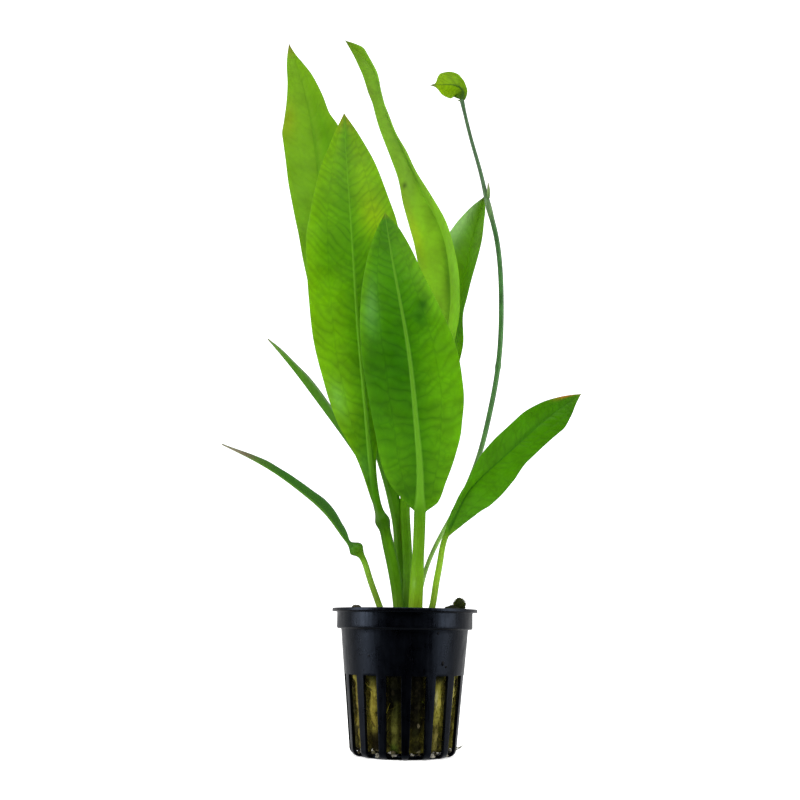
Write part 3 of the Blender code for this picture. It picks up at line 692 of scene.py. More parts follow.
FRONT = dict(
    ribbed=True, seed=11, bow=0.03, quilt=0.09, rungs=(3.8, 0.02, 0.75), joins=0.28,
    margin=((105, 165, 12), 0.62, 0.5), middle=((50, 115, 3), 0.5, 0.45),
    route=(
        (3.5, -4.6, FOOT), (3.7, -5, 51), (4.2, -7, 63.7), (4.7, -10, 77.5), (4.8, -12, 88),
        (4.6, -14.5, 98.3), (3.2, -17.5, 113), (0.9, -20.5, 134), (-1.6, -21.5, 149.5), (-6.2, -20, 174),
        (-9.3, -17, 193.6),
    ),
    stalk=((0, 3), (0.04, 2.6), (0.13, 2.4), (0.19, 2.1), (0.28, 2.1)),
    blade=alike(
        (0, 2, 2.4, -5), (0.03, 5.7, 6.6, -8), (0.09, 11.2, 9.4, -10), (0.17, 14.1, 13.3, -10),
        (0.25, 14.9, 16.4, -10), (0.38, 16.3, 18.3, -8), (0.5, 17, 17.6, -8), (0.62, 15.9, 14.5, -8),
        (0.74, 13.1, 10.9, -8), (0.86, 8.6, 7.7, -10), (0.94, 4.3, 4.5, -10), (1, 0, 0, -10),
    ),
    along=(
        (0, 150, 175, 40), (0.1, 126, 172, 34), (0.17, 106, 156, 22), (0.24, 90, 138, 14),
        (0.3, 74, 131, 6), (0.5, 78, 139, 3), (0.8, 74, 137, 3), (0.98, 68, 128, 4), (1, 110, 110, 25),
    ),
    # Most of these spots are painted light and shade. The dark spots on the left half and its margin, beside
    # the midrib on the right and at the curl of the right margin are painted shade, where the leaf lies over
    # the broad leaf or folds. The pale blue-green strip on the left is a painted highlight. The lighter
    # spots on the right half, its margin and near the tip are painted light, and so is the pale spot at the
    # stalk's foot, lightened against the shade of the pot's rim.
    spots_and_painted_light=(
        (0.76, -0.72, 0.06, 0.17, (105, 162, 75), 0.75), (0.63, -0.3, 0.16, 0.42, (32, 98, 2), 0.72),
        (0.55, 0.7, 0.2, 0.4, (105, 165, 12), 0.5), (0.315, -0.6, 0.03, 0.5, (45, 100, 4), 0.55),
        (0.775, 0.76, 0.016, 0.13, (16, 78, 6), 0.85), (0.73, 0.4, 0.06, 0.3, (48, 112, 5), 0.5),
        (0.9, 0.4, 0.06, 0.4, (90, 150, 8), 0.6), (0.82, 1, 0.12, 0.35, (108, 166, 22), 0.7),
        (0.115, -0.35, 0.012, 0.25, (150, 195, 90), 0.6), (0.06, 0.5, 0.03, 0.6, (135, 168, 32), 0.4),
        (0.62, -0.82, 0.09, 0.28, (34, 98, 4), 0.6), (0.5, -0.95, 0.1, 0.35, (42, 108, 5), 0.6),
        (0.752, 0.58, 0.016, 0.15, (20, 80, 3), 0.75), (0.724, 0.4, 0.02, 0.16, (28, 90, 3), 0.6),
    ),
)

pale_rib = screen(112, 168, 42)
broad_finish = leaf_finish("broad leaf", pale_rib, lines=0.34, rib=0.6, rib_from=0.24)
front_finish = leaf_finish("front leaf", pale_rib, lines=0.38, rib=0.75)
make_leaf("leaf_broad_left", BROAD_LEFT, broad_finish, "leaf_mid_green")
make_leaf("leaf_front", FRONT, front_finish, "leaf_mid_green")

# %% The three leaves behind them
TALL_LEFT = dict(
    ribbed=False, seed=23, bow=0.03, quilt=0.06, rungs=(4.2, 0.5, 0.9), joins=0.3,
    margin=((112, 158, 15), 0.75, 0.4),
    route=(
        (-1.1, 3.6, FOOT), (-1.2, 4, 51), (-2.2, 5.6, 66), (-3.5, 7, 84.5), (-7.1, 8, 99),
        (-16.5, 10, 124.6), (-26.5, 12, 160.6), (-32.5, 13.5, 190), (-36, 14.2, 214), (-38.2, 14.8, 230),
        (-43, 15, 255), (-50.7, 14, 279.1),
    ),
    stalk=((0, 2.4), (0.04, 1.7), (0.15, 1.8), (0.2, 2.3), (0.25, 2.1), (0.3, 1.6)),
    blade=(
        (0, 1.6, 1.6, 0, 8, 8), (0.08, 3.4, 3.4, 0, 10, 10), (0.18, 6, 7.2, 0, 12, 12),
        (0.32, 9.2, 11, 0, 12, 12), (0.5, 10.6, 12.6, 0, 12, 15), (0.66, 12.5, 12.8, 0, 12, 18),
        (0.76, 12.6, 11.3, 0, 12, 20), (0.8, 10.9, 8.6, 0, 12, 20), (0.85, 8.3, 7.2, 0, 12, 20),
        (0.9, 5.8, 5.5, 0, 12, 20), (0.94, 4.2, 3.1, 0, 12, 20), (0.97, 2.4, 1.2, 0, 12, 20),
        (1, 0, 0, 0, 12, 20),
    ),
    along=(
        (0, 120, 160, 60), (0.12, 90, 140, 30), (0.22, 85, 140, 20), (0.4, 106, 157, 42),
        (0.8, 113, 158, 22), (0.97, 112, 156, 22), (0.99, 120, 130, 35), (1, 105, 85, 40),
    ),
    spots_and_painted_light=(
        (0.86, -0.85, 0.035, 0.3, (128, 140, 0), 0.6), (0.8, 0.5, 0.1, 0.35, (82, 138, 3), 0.7),
        (0.79, 0.05, 0.12, 0.07, (85, 138, 10), 0.6), (0.15, 0.9, 0.02, 0.5, (120, 80, 40), 0.5),
    ),
)

TWISTED = dict(
    ribbed=False, seed=31, bow=0.02, quilt=0.05, rungs=(4.2, 0.5, 0.9), joins=0.27,
    margin=((132, 178, 38), 0.75, 0.4),
    route=(
        (0.9, -0.3, FOOT), (1, 0, 51), (0.9, 2.5, 64), (0.2, 5, 77), (-0.4, 6.5, 89.5), (4.2, 9, 109.3),
        (11, 11, 129.1), (14.3, 12, 149.1), (16.2, 12, 167.3), (15.3, 11, 184.5), (12.3, 10, 197.4),
        (6.5, 9, 209), (-2.9, 8, 229), (-10.6, 9.5, 248.8), (-15.7, 13, 267.2), (-20.1, 15, 274.5),
        (-27.8, 18, 283.2),
    ),
    stalk=((0, 2.5), (0.04, 1.8), (0.12, 1.8), (0.19, 1.9), (0.27, 1.3)),
    blade=(
        (0, 1.3, 1.3, 20, 0, 20), (0.08, 4.5, 4.5, 24, 0, 40), (0.18, 9, 7.8, 25, 0, 46),
        (0.3, 12.2, 11.6, 25, 0, 48), (0.42, 12.8, 12.8, 25, 0, 58), (0.5, 12.1, 11.5, 27, 0, 60),
        (0.57, 9.9, 9.2, 35, 0, 52), (0.65, 7.5, 6.2, 48, 0, 42), (0.76, 6, 4.5, 48, 0, 48),
        (0.81, 5.8, 4.5, 48, 0, 46), (0.86, 6.7, 5.8, 48, 0, 44), (0.92, 4.9, 5.2, 40, 0, 42),
        (0.96, 2.4, 2.6, 30, 0, 35), (1, 0, 0, 20, 0, 20),
    ),
    # The pale green through the middle of the blade is partly painted light: it is paler than the leaf, to
    # make up for the shade that the leaves around it cast on it.
    along=(
        (0, 120, 165, 60), (0.12, 96, 150, 22), (0.25, 100, 152, 18), (0.36, 146, 196, 48),
        (0.62, 150, 194, 48), (0.72, 128, 168, 46), (0.9, 110, 152, 30), (0.98, 106, 145, 18),
        (1, 95, 110, 40),
    ),
    # The pale spot on the right half is a painted highlight on its turned-up strip; the darker spots just
    # left of the midrib and high on the right half are painted shade of the fold.
    spots_and_painted_light=(
        (0.714, -0.66, 0.004, 0.14, (60, 80, 15), 0.8), (0.636, -0.85, 0.06, 0.2, (170, 185, 20), 0.5),
        (0.89, -0.8, 0.02, 0.3, (105, 125, 45), 0.5), (0.56, 0.55, 0.08, 0.45, (150, 195, 78), 0.75),
        (0.54, -0.05, 0.06, 0.09, (95, 150, 25), 0.6), (0.76, 0.3, 0.09, 0.3, (70, 125, 10), 0.6),
        (0.2, 0.1, 0.05, 0.5, (112, 168, 35), 0.6), (0.5, 1, 0.13, 0.42, (92, 148, 18), 0.3),
    ),
)

BACK_RIGHT = dict(
    ribbed=False, seed=41, bow=0.02, quilt=0.07, rungs=(4.2, 0.5, 0.9), joins=0.38,
    margin=((95, 145, 20), 0.78, 0.4),
    route=(
        (2.8, 5.2, FOOT), (3.6, 5.8, 51), (4.6, 9, 70), (5.7, 13, 91), (6.7, 16, 106.6), (10.5, 19, 125),
        (14, 21, 143), (17.5, 22, 162), (20.7, 23, 177), (23.9, 23, 191.7), (27.1, 23, 204.6),
        (30.3, 22, 216.4),
    ),
    stalk=((0, 1.5), (0.05, 1.3), (0.25, 1.3), (0.38, 1.1)),
    blade=(
        (0, 1.1, 1.1, 15, 0, 15), (0.1, 4, 4, 18, 0, 25), (0.25, 8, 8.6, 20, 0, 32),
        (0.4, 10.4, 10.3, 20, 0, 36), (0.55, 11.6, 9.6, 20, 0, 50), (0.7, 12.4, 9.5, 20, 0, 45),
        (0.8, 11.8, 7.9, 20, 0, 40), (0.88, 9, 5.8, 20, 0, 40), (0.95, 4.6, 3.6, 20, 0, 40),
        (1, 0, 0, 20, 0, 40),
    ),
    along=(
        (0, 120, 160, 60), (0.2, 80, 135, 12), (0.4, 112, 152, 6), (0.6, 113, 160, 8), (0.8, 94, 146, 4),
        (0.98, 92, 142, 10), (1, 90, 110, 35),
    ),
    # The pale grey-green spot high on the left margin is a painted highlight along the folded edge.
    spots_and_painted_light=(
        (0.935, -0.82, 0.065, 0.42, (150, 186, 128), 0.9), (0.68, 0.5, 0.04, 0.6, (70, 130, 8), 0.5),
        (0.9, 0.8, 0.06, 0.5, (118, 160, 64), 0.5),
    ),
)

upper_rib = screen(70, 125, 20)
tall_finish = leaf_finish("tall leaf", upper_rib, lines=0.08, rib=0.18, cells=0.02)
twisted_rib = screen(112, 164, 48)
twisted_finish = leaf_finish("twisted leaf", twisted_rib, lines=0.08, rib=0.4, through=0.54, cells=0.02)
back_finish = leaf_finish("back leaf", upper_rib, lines=0.16, rib=0.4, cells=0.03)
make_leaf("leaf_tall_left", TALL_LEFT, tall_finish, "leaf_pale_green")
make_leaf("leaf_twisted", TWISTED, twisted_finish, "leaf_pale_green")
make_leaf("leaf_back_right", BACK_RIGHT, back_finish, "leaf_mid_green")

# %% [markdown]
# ## The low leaves
#
# Three lower leaves reach out sideways. The one on the right is short, and its left half folds up near
# its foot. The two on the left are seen almost edge-on, folded along their midribs, and the lowest has
# a dried tip and a kink in its stalk.

# %% The low leaves
LOW_RIGHT = dict(
    ribbed=False, seed=53, bow=0.03, quilt=0.1, rungs=(3.6, 0.5, 0.9), joins=0.335,
    route=(
        (6.4, -2.2, FOOT), (9.7, -3, 51), (10.9, -4, 58.6), (12.3, -5, 66.7), (13.8, -6, 74.5),
        (16.9, -7, 81.2), (21.6, -9, 90.7), (28.7, -11, 98.5), (38.5, -13, 107.3), (48.9, -14, 116.7),
        (62.6, -13, 127.1),
    ),
    stalk=((0, 1.6), (0.04, 1.2), (0.2, 1.15), (0.335, 1)),
    blade=(
        (0, 0.9, 1, 0, 10, 5), (0.08, 2, 3.6, 0, 15, 5), (0.16, 3, 6.6, 0, 50, 5),
        (0.26, 4.2, 9.2, 0, 60, 5), (0.34, 5.6, 9.6, 0, 42, 5), (0.44, 6.8, 8.8, 0, 25, 5),
        (0.56, 7.4, 6.9, 0, 20, 8), (0.68, 7.4, 6.8, 0, 16, 8), (0.8, 6, 6.7, 0, 14, 8),
        (0.88, 4.1, 4.7, 0, 14, 8), (0.95, 1.9, 1.8, 0, 14, 8), (1, 0, 0, 0, 14, 8),
    ),
    along=(
        (0, 165, 195, 80), (0.15, 150, 188, 60), (0.3, 130, 170, 45), (0.38, 80, 142, 20),
        (0.55, 76, 138, 4), (0.88, 66, 126, 2), (0.94, 58, 113, 4), (0.98, 72, 122, 10),
        (1, 120, 118, 40),
    ),
    spots_and_painted_light=(
        (0.95, -0.95, 0.035, 0.22, (180, 106, 45), 0.75), (0.355, -0.6, 0.008, 0.4, (110, 190, 40), 0.6),
        (0.335, 0.95, 0.01, 0.3, (110, 85, 40), 0.6), (0.78, -0.1, 0.1, 0.1, (52, 110, 5), 0.6),
    ),
)

LOW_LEFT = dict(
    ribbed=False, seed=61, bow=0, quilt=0.03, ripple=(0.2, 10), joins=0.365, knot=(0.342, 0.021, 1.45),
    # The greyish margin tint is a painted highlight along the edges of the folded blade.
    middle=((92, 138, 42), 0.3, 0.65), margin=((70, 105, 70), 0.8, 0.5),
    route=(
        (-5.8, -0.8, FOOT), (-9.1, -1, 51), (-13.2, -1.8, 62), (-15.6, -2.4, 68.2), (-18.4, -3, 71.6),
        (-20.7, -3.4, 73.8), (-24.3, -4.3, 78.1), (-28.7, -5, 83.4), (-37.3, -6.5, 90.7),
        (-46.1, -7.8, 96.9), (-54, -9.2, 101.4), (-66.5, -11, 107.2),
    ),
    stalk=((0, 1.3), (0.05, 1.15), (0.3, 1.05), (0.365, 1.1)),
    blade=edge_on(
        (0, 1.2, 25), (0.12, 4.2, 40), (0.3, 4.8, 45), (0.5, 3.8, 45), (0.66, 3.2, 45), (0.78, 2.6, 40),
        (0.88, 1.7, 30), (1, 0.2, 10),
    ),
    along=(
        (0, 60, 110, 35), (0.08, 130, 165, 55), (0.27, 110, 155, 42), (0.305, 84, 132, 18),
        (0.36, 50, 98, 16), (0.44, 42, 88, 18), (0.75, 44, 94, 22), (0.85, 64, 96, 34),
        (0.9, 98, 88, 68), (1, 135, 122, 108),
    ),
)

UPPER_LEFT = dict(
    ribbed=False, seed=71, bow=0, quilt=0.03, ripple=(0.2, 10), joins=0.42,
    # The greyish margin tint is a painted highlight along the edges of the folded blade.
    margin=((105, 128, 92), 0.72, 0.7),
    route=(
        (-2.8, 0.5, FOOT), (-2.9, 0.6, 51), (-4.4, 0.8, 62.2), (-6.6, 1.1, 73), (-9.3, 1.5, 83),
        (-11.2, 2, 92.3), (-14.6, 3, 99.8), (-24, 5, 113.9), (-34.5, 8, 128), (-46.1, 10.5, 143),
        (-54.2, 11.5, 152.4),
    ),
    stalk=((0, 1.2), (0.05, 1), (0.42, 0.9)),
    blade=edge_on(
        (0, 1, 20), (0.15, 3, 35), (0.35, 4.4, 42), (0.6, 4.5, 45), (0.8, 3, 42), (0.93, 1.8, 35),
        (1, 0.2, 20),
    ),
    along=(
        (0, 120, 160, 70), (0.2, 80, 130, 30), (0.45, 57, 108, 10), (0.9, 62, 110, 16),
        (0.98, 90, 125, 50), (1, 120, 110, 70),
    ),
)

SLIM = dict(stalk_rows=80, blade_rows=170, half_columns=18)
low_finish = leaf_finish("low leaf", screen(45, 105, 15), lines=0.25, rib=0.7, cells=0.03)
slim_finish = leaf_finish("slim leaf", upper_rib, lines=0.1, rib=0.3, through=0.25, cells=0.02)
make_leaf("leaf_low_right", LOW_RIGHT, low_finish, "leaf_deep_green")
make_leaf("leaf_low_left", LOW_LEFT, slim_finish, "leaf_deep_green", **SLIM)
make_leaf("leaf_upper_left", UPPER_LEFT, slim_finish, "leaf_deep_green", **SLIM)

# %% [markdown]
# ## The flower stalk and its leaf
#
# The flower stalk is a wiry rod, thinner than a match, with a knuckle where a bract stands off. A curve
# with a bevel would be quick, but its section is the same all the way. A profile carried along the
# route, with a radius from a table, gives the knuckle, the small lump below it and the taper.

# %% Rods along a route
def rod_finish(name, rough=0.4, through=0.12, mottle=0.25, streak=0.004, shine=0.4):
    """Painted colour with long streaks and blotches, a soft shine and a little light through it."""
    finish, tree, shader = new_finish(name)
    blotch = mottled(tree, 1 - mottle, 1 + mottle, streak, 3, (2.5, 2.5, 0.7))
    colour = tinged(tree, stored(tree, "paint"), grey(tree, blotch))
    feed_all(tree, shader, {
        "Base Color": colour, "Normal": bump(tree, cloud(tree, 0.0007, 3, (2, 2, 0.5)), 0.00008),
        "Roughness": mottled(tree, rough - 0.08, rough + 0.12, 0.003), "Specular IOR Level": shine,
    })
    let_light_through(tree, shader, colour, through)
    return finish


ROD_RIDGE_COUNT = 5


def make_rod(name, route, radii, colours, finish, rows, columns, ridges=0.0, replaces=()):
    """A ring carried along the route: cos across and sin to the front, times a radius from a table."""
    shares = np.linspace(0, 1, rows)
    centre, across, front = midrib_frame(MM * np.array(route), shares)
    (radius,) = MM * table(radii, shares)
    angle = np.linspace(0, 2 * np.pi, columns, endpoint=False)
    size = radius[:, None] * (1 + ridges * np.cos(ROD_RIDGE_COUNT * angle))
    out = np.cos(angle)[:, None] * across[:, None] - np.sin(angle)[:, None] * front[:, None]
    paint = np.repeat(colours_along(colours, shares)[:, None], columns, axis=1)
    grid_piece(name, centre[:, None] + size[..., None] * out, paint, finish, replaces)


STALK_ROUTE = (
    (4.8, 1.2, FOOT), (4.9, 1.4, 51), (6.4, 1.8, 60.9), (10.7, 2.6, 72.6), (18.6, 4, 87.4),
    (27.4, 6, 108.4), (30.7, 6.8, 121.6), (33.2, 7, 134), (35, 6.6, 148), (35.6, 5.5, 166),
    (34.9, 4, 182.4), (33.1, 2.5, 194.1), (30.4, 1, 204.1), (27.2, -0.5, 217.5), (23.8, -2, 229.2),
    (19.7, -3.5, 246.2),
)
stalk_finish = rod_finish("flower stalk")
make_rod(
    "flower_stalk", STALK_ROUTE,
    ((0, 1), (0.06, 0.8), (0.15, 0.8), (0.30, 0.9), (0.40, 0.98), (0.488, 0.98), (0.498, 1.16),
     (0.508, 0.98), (0.765, 0.95), (0.79, 1.15), (0.81, 1), (0.84, 0.8), (0.97, 0.7), (1, 0.9)),
    ((0, 120, 160, 60), (0.12, 125, 170, 68), (0.24, 112, 152, 70), (0.38, 60, 106, 44),
     (0.75, 48, 95, 38), (0.79, 80, 110, 60), (0.83, 60, 90, 55), (1, 50, 80, 45)),
    stalk_finish, rows=420, columns=16, ridges=0.06, replaces=("flower_stalk",),
)

# %% The bracts and the small leaf
def bract(name, foot, tip, bow, radius, replaces=()):
    """A pointed scale: it leaves its foot along the stalk and bends towards its tip."""
    middle = (np.array(foot) + np.array(tip)) / 2 + np.array(bow)
    radii = ((0, radius * 0.8), (0.3, radius), (0.7, radius * 0.6), (1, radius * 0.08))
    colours = ((0, 75, 110, 50), (0.6, 95, 115, 65), (1, 125, 115, 90))
    make_rod(name, (foot, middle, tip), radii, colours, stalk_finish, rows=24, columns=12,
             replaces=replaces)


bract("stalk_bract", (30.3, -0.4, 206.8), (30.1, -1.4, 213.2), (0.1, -0.3, 0), 0.7, ("stalk_bract",))
bract("stalk_bract_back", (29.8, 1.4, 206.6), (28.8, 2.4, 211.2), (-0.3, 0.4, 0), 0.45)
bract("leaf_bract", (20.3, -3.7, 245.9), (17.8, -4.3, 246.2), (-0.6, 0, -0.3), 0.35)

STALK_LEAF = dict(
    ribbed=True, seed=83, bow=0.05, quilt=0.06, rungs=(1.6, 0.4, 0.7), ripple=(0.2, 6), joins=0.03,
    margin=((128, 165, 10), 0.7, 0.4),
    route=(
        (19.7, -3.5, 246), (20.1, -3.7, 247.8), (20, -4.1, 249.5), (18.7, -4.7, 250.8),
        (16.3, -5.2, 251.4), (12.8, -6, 251.1), (10, -6.8, 250.6), (7.3, -7.5, 250.1),
    ),
    stalk=((0, 0.9), (0.1, 0.8), (0.26, 0.6)),
    blade=(
        (0, 2.6, 1.2, 0, -16, -20), (0.04, 4.5, 1.4, 0, -16, -20), (0.14, 5, 1.9, 0, -16, -20),
        (0.23, 4.8, 3, 0, -18, -20), (0.28, 4.4, 4.2, 0, -18, -20), (0.33, 4.3, 5.2, 0, -18, -20),
        (0.38, 4.6, 6.2, 0, -18, -18), (0.51, 5.2, 7.3, 0, -18, -18), (0.64, 4.7, 6.4, 0, -16, -16),
        (0.74, 3.8, 4.6, 0, -12, -12), (0.79, 2.7, 3.3, 0, -12, -12), (0.845, 1.5, 1.5, 0, -10, -10),
        (0.9, 0.7, 0.6, 0, -10, -10), (0.955, 0.3, 0.3, 0, -10, -10), (1, 0, 0, 0, -10, -10),
    ),
    along=(
        (0, 62, 98, 28), (0.08, 82, 120, 15), (0.24, 104, 142, 5), (0.36, 112, 150, 4),
        (0.85, 125, 158, 4), (0.93, 110, 120, 75), (1, 100, 100, 80),
    ),
    # The two dark spots along the midrib are painted shade in the leaf's fold.
    spots_and_painted_light=((0.12, 0, 0.11, 0.3, (48, 78, 15), 0.9), (0.31, 0, 0.12, 0.1, (60, 95, 8), 0.7)),
)

young_finish = leaf_finish("young leaf", screen(55, 90, 25), lines=0.3, rib=0.8)
SMALL = dict(stalk_rows=16, blade_rows=90, half_columns=20)
make_leaf("stalk_leaf", STALK_LEAF, young_finish, "leaf_young_green", **SMALL)

# %% [markdown]
# ## The net pot
#
# The pot is moulded in thin black plastic: a tapered wall, a straight band and a thin lip, with slots that
# run down the wall and round the corner into the base. Slots could be cut with a Boolean, which leaves
# long thin faces that shade badly. Instead the wall's grid is laid out round the slots: its columns
# follow both edges of each slot, and the cells inside are left out. Solidify gives the sheet its
# wall, and Bevel rounds the moulded edges.

# %% Pot surface
POT_HEIGHT = 0.050
LIP_RADIUS = 0.0260
LIP_THICKNESS = 0.0010
BAND_RADIUS = 0.0242
BAND_HEIGHT = 0.0069
BODY_TOP_RADIUS = 0.0226
BODY_BASE_RADIUS = 0.0186
BASE_CORNER = 0.0028
WALL = 0.0011
SLOTS = 15
SLOT_TURN = 1.8
SLOT_WIDTH = 0.0053
SLOT_TOP = 0.0275
SLOT_INNER_RADIUS = 0.0158
SLOT_CELLS = 8
RIB_CELLS = 6
SMALL_FILLET = 0.0004
BAND_FILLET = 0.0006


def wall_radius(height):
    """Outer radius of the tapered wall: a straight line from its base to the foot of the band."""
    return BODY_BASE_RADIUS + height / (POT_HEIGHT - BAND_HEIGHT) * (BODY_TOP_RADIUS - BODY_BASE_RADIUS)


def round_corner(centre, radius, start, end, count):
    """Points on a circle from one angle to the other, in degrees."""
    angles = np.radians(np.linspace(start, end, count))
    return np.stack([centre[0] + radius * np.cos(angles), centre[1] + radius * np.sin(angles)], axis=-1)


line = np.linspace
band_foot = POT_HEIGHT - BAND_HEIGHT
lip_under = POT_HEIGHT - LIP_THICKNESS
corner = wall_radius(BASE_CORNER)
foot_radius = wall_radius(band_foot)
outline = np.concatenate([
    line((0.004, 0), (SLOT_INNER_RADIUS - 0.0008, 0), 6),
    line((SLOT_INNER_RADIUS, 0), (corner - BASE_CORNER, 0), 2),
    round_corner((corner - BASE_CORNER, BASE_CORNER), BASE_CORNER, -90, 0, 10)[1:],
    line((wall_radius(0.004), 0.004), (wall_radius(SLOT_TOP), SLOT_TOP), 22),
    line((wall_radius(SLOT_TOP + 0.0008), SLOT_TOP + 0.0008), (foot_radius, band_foot - SMALL_FILLET), 12),
    round_corner((foot_radius + SMALL_FILLET, band_foot - SMALL_FILLET), SMALL_FILLET, 180, 90, 4)[1:],
    round_corner((BAND_RADIUS - BAND_FILLET, band_foot + BAND_FILLET), BAND_FILLET, -90, 0, 5),
    line((BAND_RADIUS, band_foot + 0.0014), (BAND_RADIUS, lip_under - 0.0006), 6),
    round_corner((BAND_RADIUS + SMALL_FILLET, lip_under - SMALL_FILLET), SMALL_FILLET, 180, 90, 4),
    line((LIP_RADIUS - 0.0008, lip_under), (LIP_RADIUS, lip_under + 0.0001), 3),
])
print("pot outline points:", len(outline))


def around(radius, angle, height):
    """Points round the upright axis: the radius times the angle's cosine and sine, and the height."""
    return np.stack(np.broadcast_arrays(radius * np.cos(angle), radius * np.sin(angle), height), axis=-1)


def pot_grid():
    """Points on the outer surface: a slot's columns spread over its width, and a rib's over the rest."""
    radius, height = outline[:, :1], outline[:, 1:]
    reach = np.maximum(radius, SLOT_INNER_RADIUS)
    half_slot = np.arcsin(SLOT_WIDTH / 2 / reach)
    pitch = 2 * np.pi / SLOTS
    in_slot = np.linspace(-1, 1, SLOT_CELLS, endpoint=False) * half_slot
    in_rib = half_slot + np.linspace(0, 1, RIB_CELLS, endpoint=False) * (pitch - 2 * half_slot)
    one_pitch = np.concatenate([in_slot, in_rib], axis=1)
    starts = -np.pi / 2 + pitch * (np.arange(SLOTS) + 0.5) + np.radians(SLOT_TURN)
    angle = (starts[None, :, None] + one_pitch[:, None, :]).reshape(len(outline), -1)
    return around(radius, angle, height)


def pot_faces(rows, columns):
    """Quads of the wall without the cells inside the slots, and a fan in the middle of the base."""
    index = np.arange(rows * columns).reshape(rows, columns)
    column = np.arange(columns) % (SLOT_CELLS + RIB_CELLS)
    middle = (outline[:-1] + outline[1:]) / 2
    open_row = (middle[:, 0] > SLOT_INNER_RADIUS) & (middle[:, 1] < SLOT_TOP)
    is_open = open_row[:, None] & (column < SLOT_CELLS)[None, :]
    fan = np.stack([index[0], np.full(columns, rows * columns), np.roll(index[0], -1)], axis=-1)
    return [ring_quads(index)[~is_open], fan]


grid = pot_grid()
pot_points = np.concatenate([grid.reshape(-1, 3), [[0, 0, 0]]])
pot_mesh = mesh_of("net_pot_shell", pot_points, pot_faces(*grid.shape[:2]))

# %% [markdown]
# The plastic is nearly black, and what shows is its skin: a satin shine that turns blue-grey where it
# faces the lights, fine streaks down the wall from the mould, dust, and a few water marks. Roughness
# carries most of that, since a black surface has almost no colour to vary.

# %% Pot finish
def plastic_finish():
    """Nearly black, with dust in its colour, and mould streaks and water marks in its shine."""
    finish, tree, shader = new_finish("black plastic")
    streaks = cloud(tree, 0.0012, 3, stretch=(1, 1, 0.08))
    marks = mottled(tree, 0.27, 0.38, 0.0035, 4)
    dust = spread(tree, cloud(tree, 0.009, 5, rough=0.65), 0.50, 0.75, 0.0, 0.35)
    grain = calc(tree, "ADD", cloud(tree, 0.0004), times(tree, streaks, 1.5))
    feed_all(tree, shader, {
        "Base Color": blend(tree, dust, (0.0002, 0.0002, 0.0007), (0.0014, 0.0014, 0.0022)),
        "Roughness": calc(tree, "ADD", marks, spread(tree, streaks, 0.35, 0.65, -0.04, 0.05)),
        "Normal": bump(tree, grain, 0.00003), "IOR": 1.5,
        "Specular IOR Level": 0.27, "Specular Tint": (0.55, 0.70, 1.0),
    })
    return finish


EDGE_BEVEL = 0.00016
pot = piece("net_pot_shell", pot_mesh, plastic_finish(), ("net_pot",))
wall = pot.modifiers.new("wall", "SOLIDIFY")
wall.thickness = WALL
wall.offset = -1
wall.use_even_offset = True
edges = pot.modifiers.new("edges", "BEVEL")
edges.width = EDGE_BEVEL
edges.segments = 2
edges.limit_method = "ANGLE"
edges.angle_limit = np.radians(50)

# %% [markdown]
# ## The rock wool
#
# Rock wool is a mat of spun stone fibre. Wet and grown through, it is olive and brown, lumpy, and
# hairy at every edge. The body of the plug is a turned surface whose radius is pushed in by waves of three
# sizes. Real fibres would be millions, so only those that break the outline are made: thin three-sided
# strands that lie over the lumps, worked out all at once as one array of strands, points and sides.

# %% Wool body
WOOL_TOP = 0.0450
HOLLOW_TOP_RADIUS = 0.0115
HOLLOW_FLOOR_RADIUS = 0.0096
HOLLOW_FLOOR = 0.0365
WOOL_FOOT = 0.0018
WOOL_GAP = 0.0003
PLUG_SIDE = 0.0125


def wool_outline():
    """Profile of the plug from the middle of its base, up the wall, over the top and into the hollow."""
    foot, top = wall_radius(0.003) - WALL, WOOL_TOP - 0.0020
    shoulder = wall_radius(top) - WALL
    return np.concatenate([
        line((0.0005, WOOL_FOOT), (foot - 0.0030, WOOL_FOOT), 24),
        line((foot - 0.0012, 0.0026), (shoulder - WOOL_GAP, top), 130),
        line((shoulder - 0.0012, WOOL_TOP - 0.0008), (HOLLOW_TOP_RADIUS + 0.0008, WOOL_TOP), 34),
        line((HOLLOW_TOP_RADIUS, WOOL_TOP - 0.0006), (HOLLOW_FLOOR_RADIUS, HOLLOW_FLOOR + 0.0006), 22),
        line((HOLLOW_FLOOR_RADIUS - 0.0006, HOLLOW_FLOOR), (0.0005, HOLLOW_FLOOR), 16),
    ])


def from_front(points):
    """Angle round the pot in degrees: 0 on the rib in front, positive to the right."""
    return np.degrees(np.arctan2(points[..., 0], -points[..., 1])) - SLOT_TURN


wool_profile = wool_outline()
turns = np.linspace(0, 2 * np.pi, 300, endpoint=False)
radius, height = wool_profile[:, :1], wool_profile[:, 1:]
wool = around(radius, turns, height)
lumps = np.clip(0.5 + 0.5 * waves(wool, 0.008, 5), 0, 1)
small = np.clip(0.5 + 0.5 * waves(wool, 0.0028, 6), 0, 1)
fine = waves(wool, 0.0011, 7)
in_slot = 0.5 + 0.5 * np.cos(np.radians(from_front(wool) - 180 / SLOTS) * SLOTS)
in_slot = step(0.45, 0.95, in_slot) * (height < SLOT_TOP) * (height > BASE_CORNER)
depth = 0.0008 * lumps + 0.0005 * small + 0.00018 * fine - 0.0011 * in_slot
beside = step(0.002, 0.006, radius) * (height < WOOL_TOP - 0.003)
depth = depth * np.where(beside > 0, 1.0, 0.35)
outward = around(np.ones_like(radius), turns, 0)
wool = wool - depth[..., None] * outward * step(0.001, 0.006, radius)[..., None]
wool[..., 2] += 0.0004 * waves(wool[..., :2], 0.004, 8) * (height > WOOL_TOP - 0.0015)
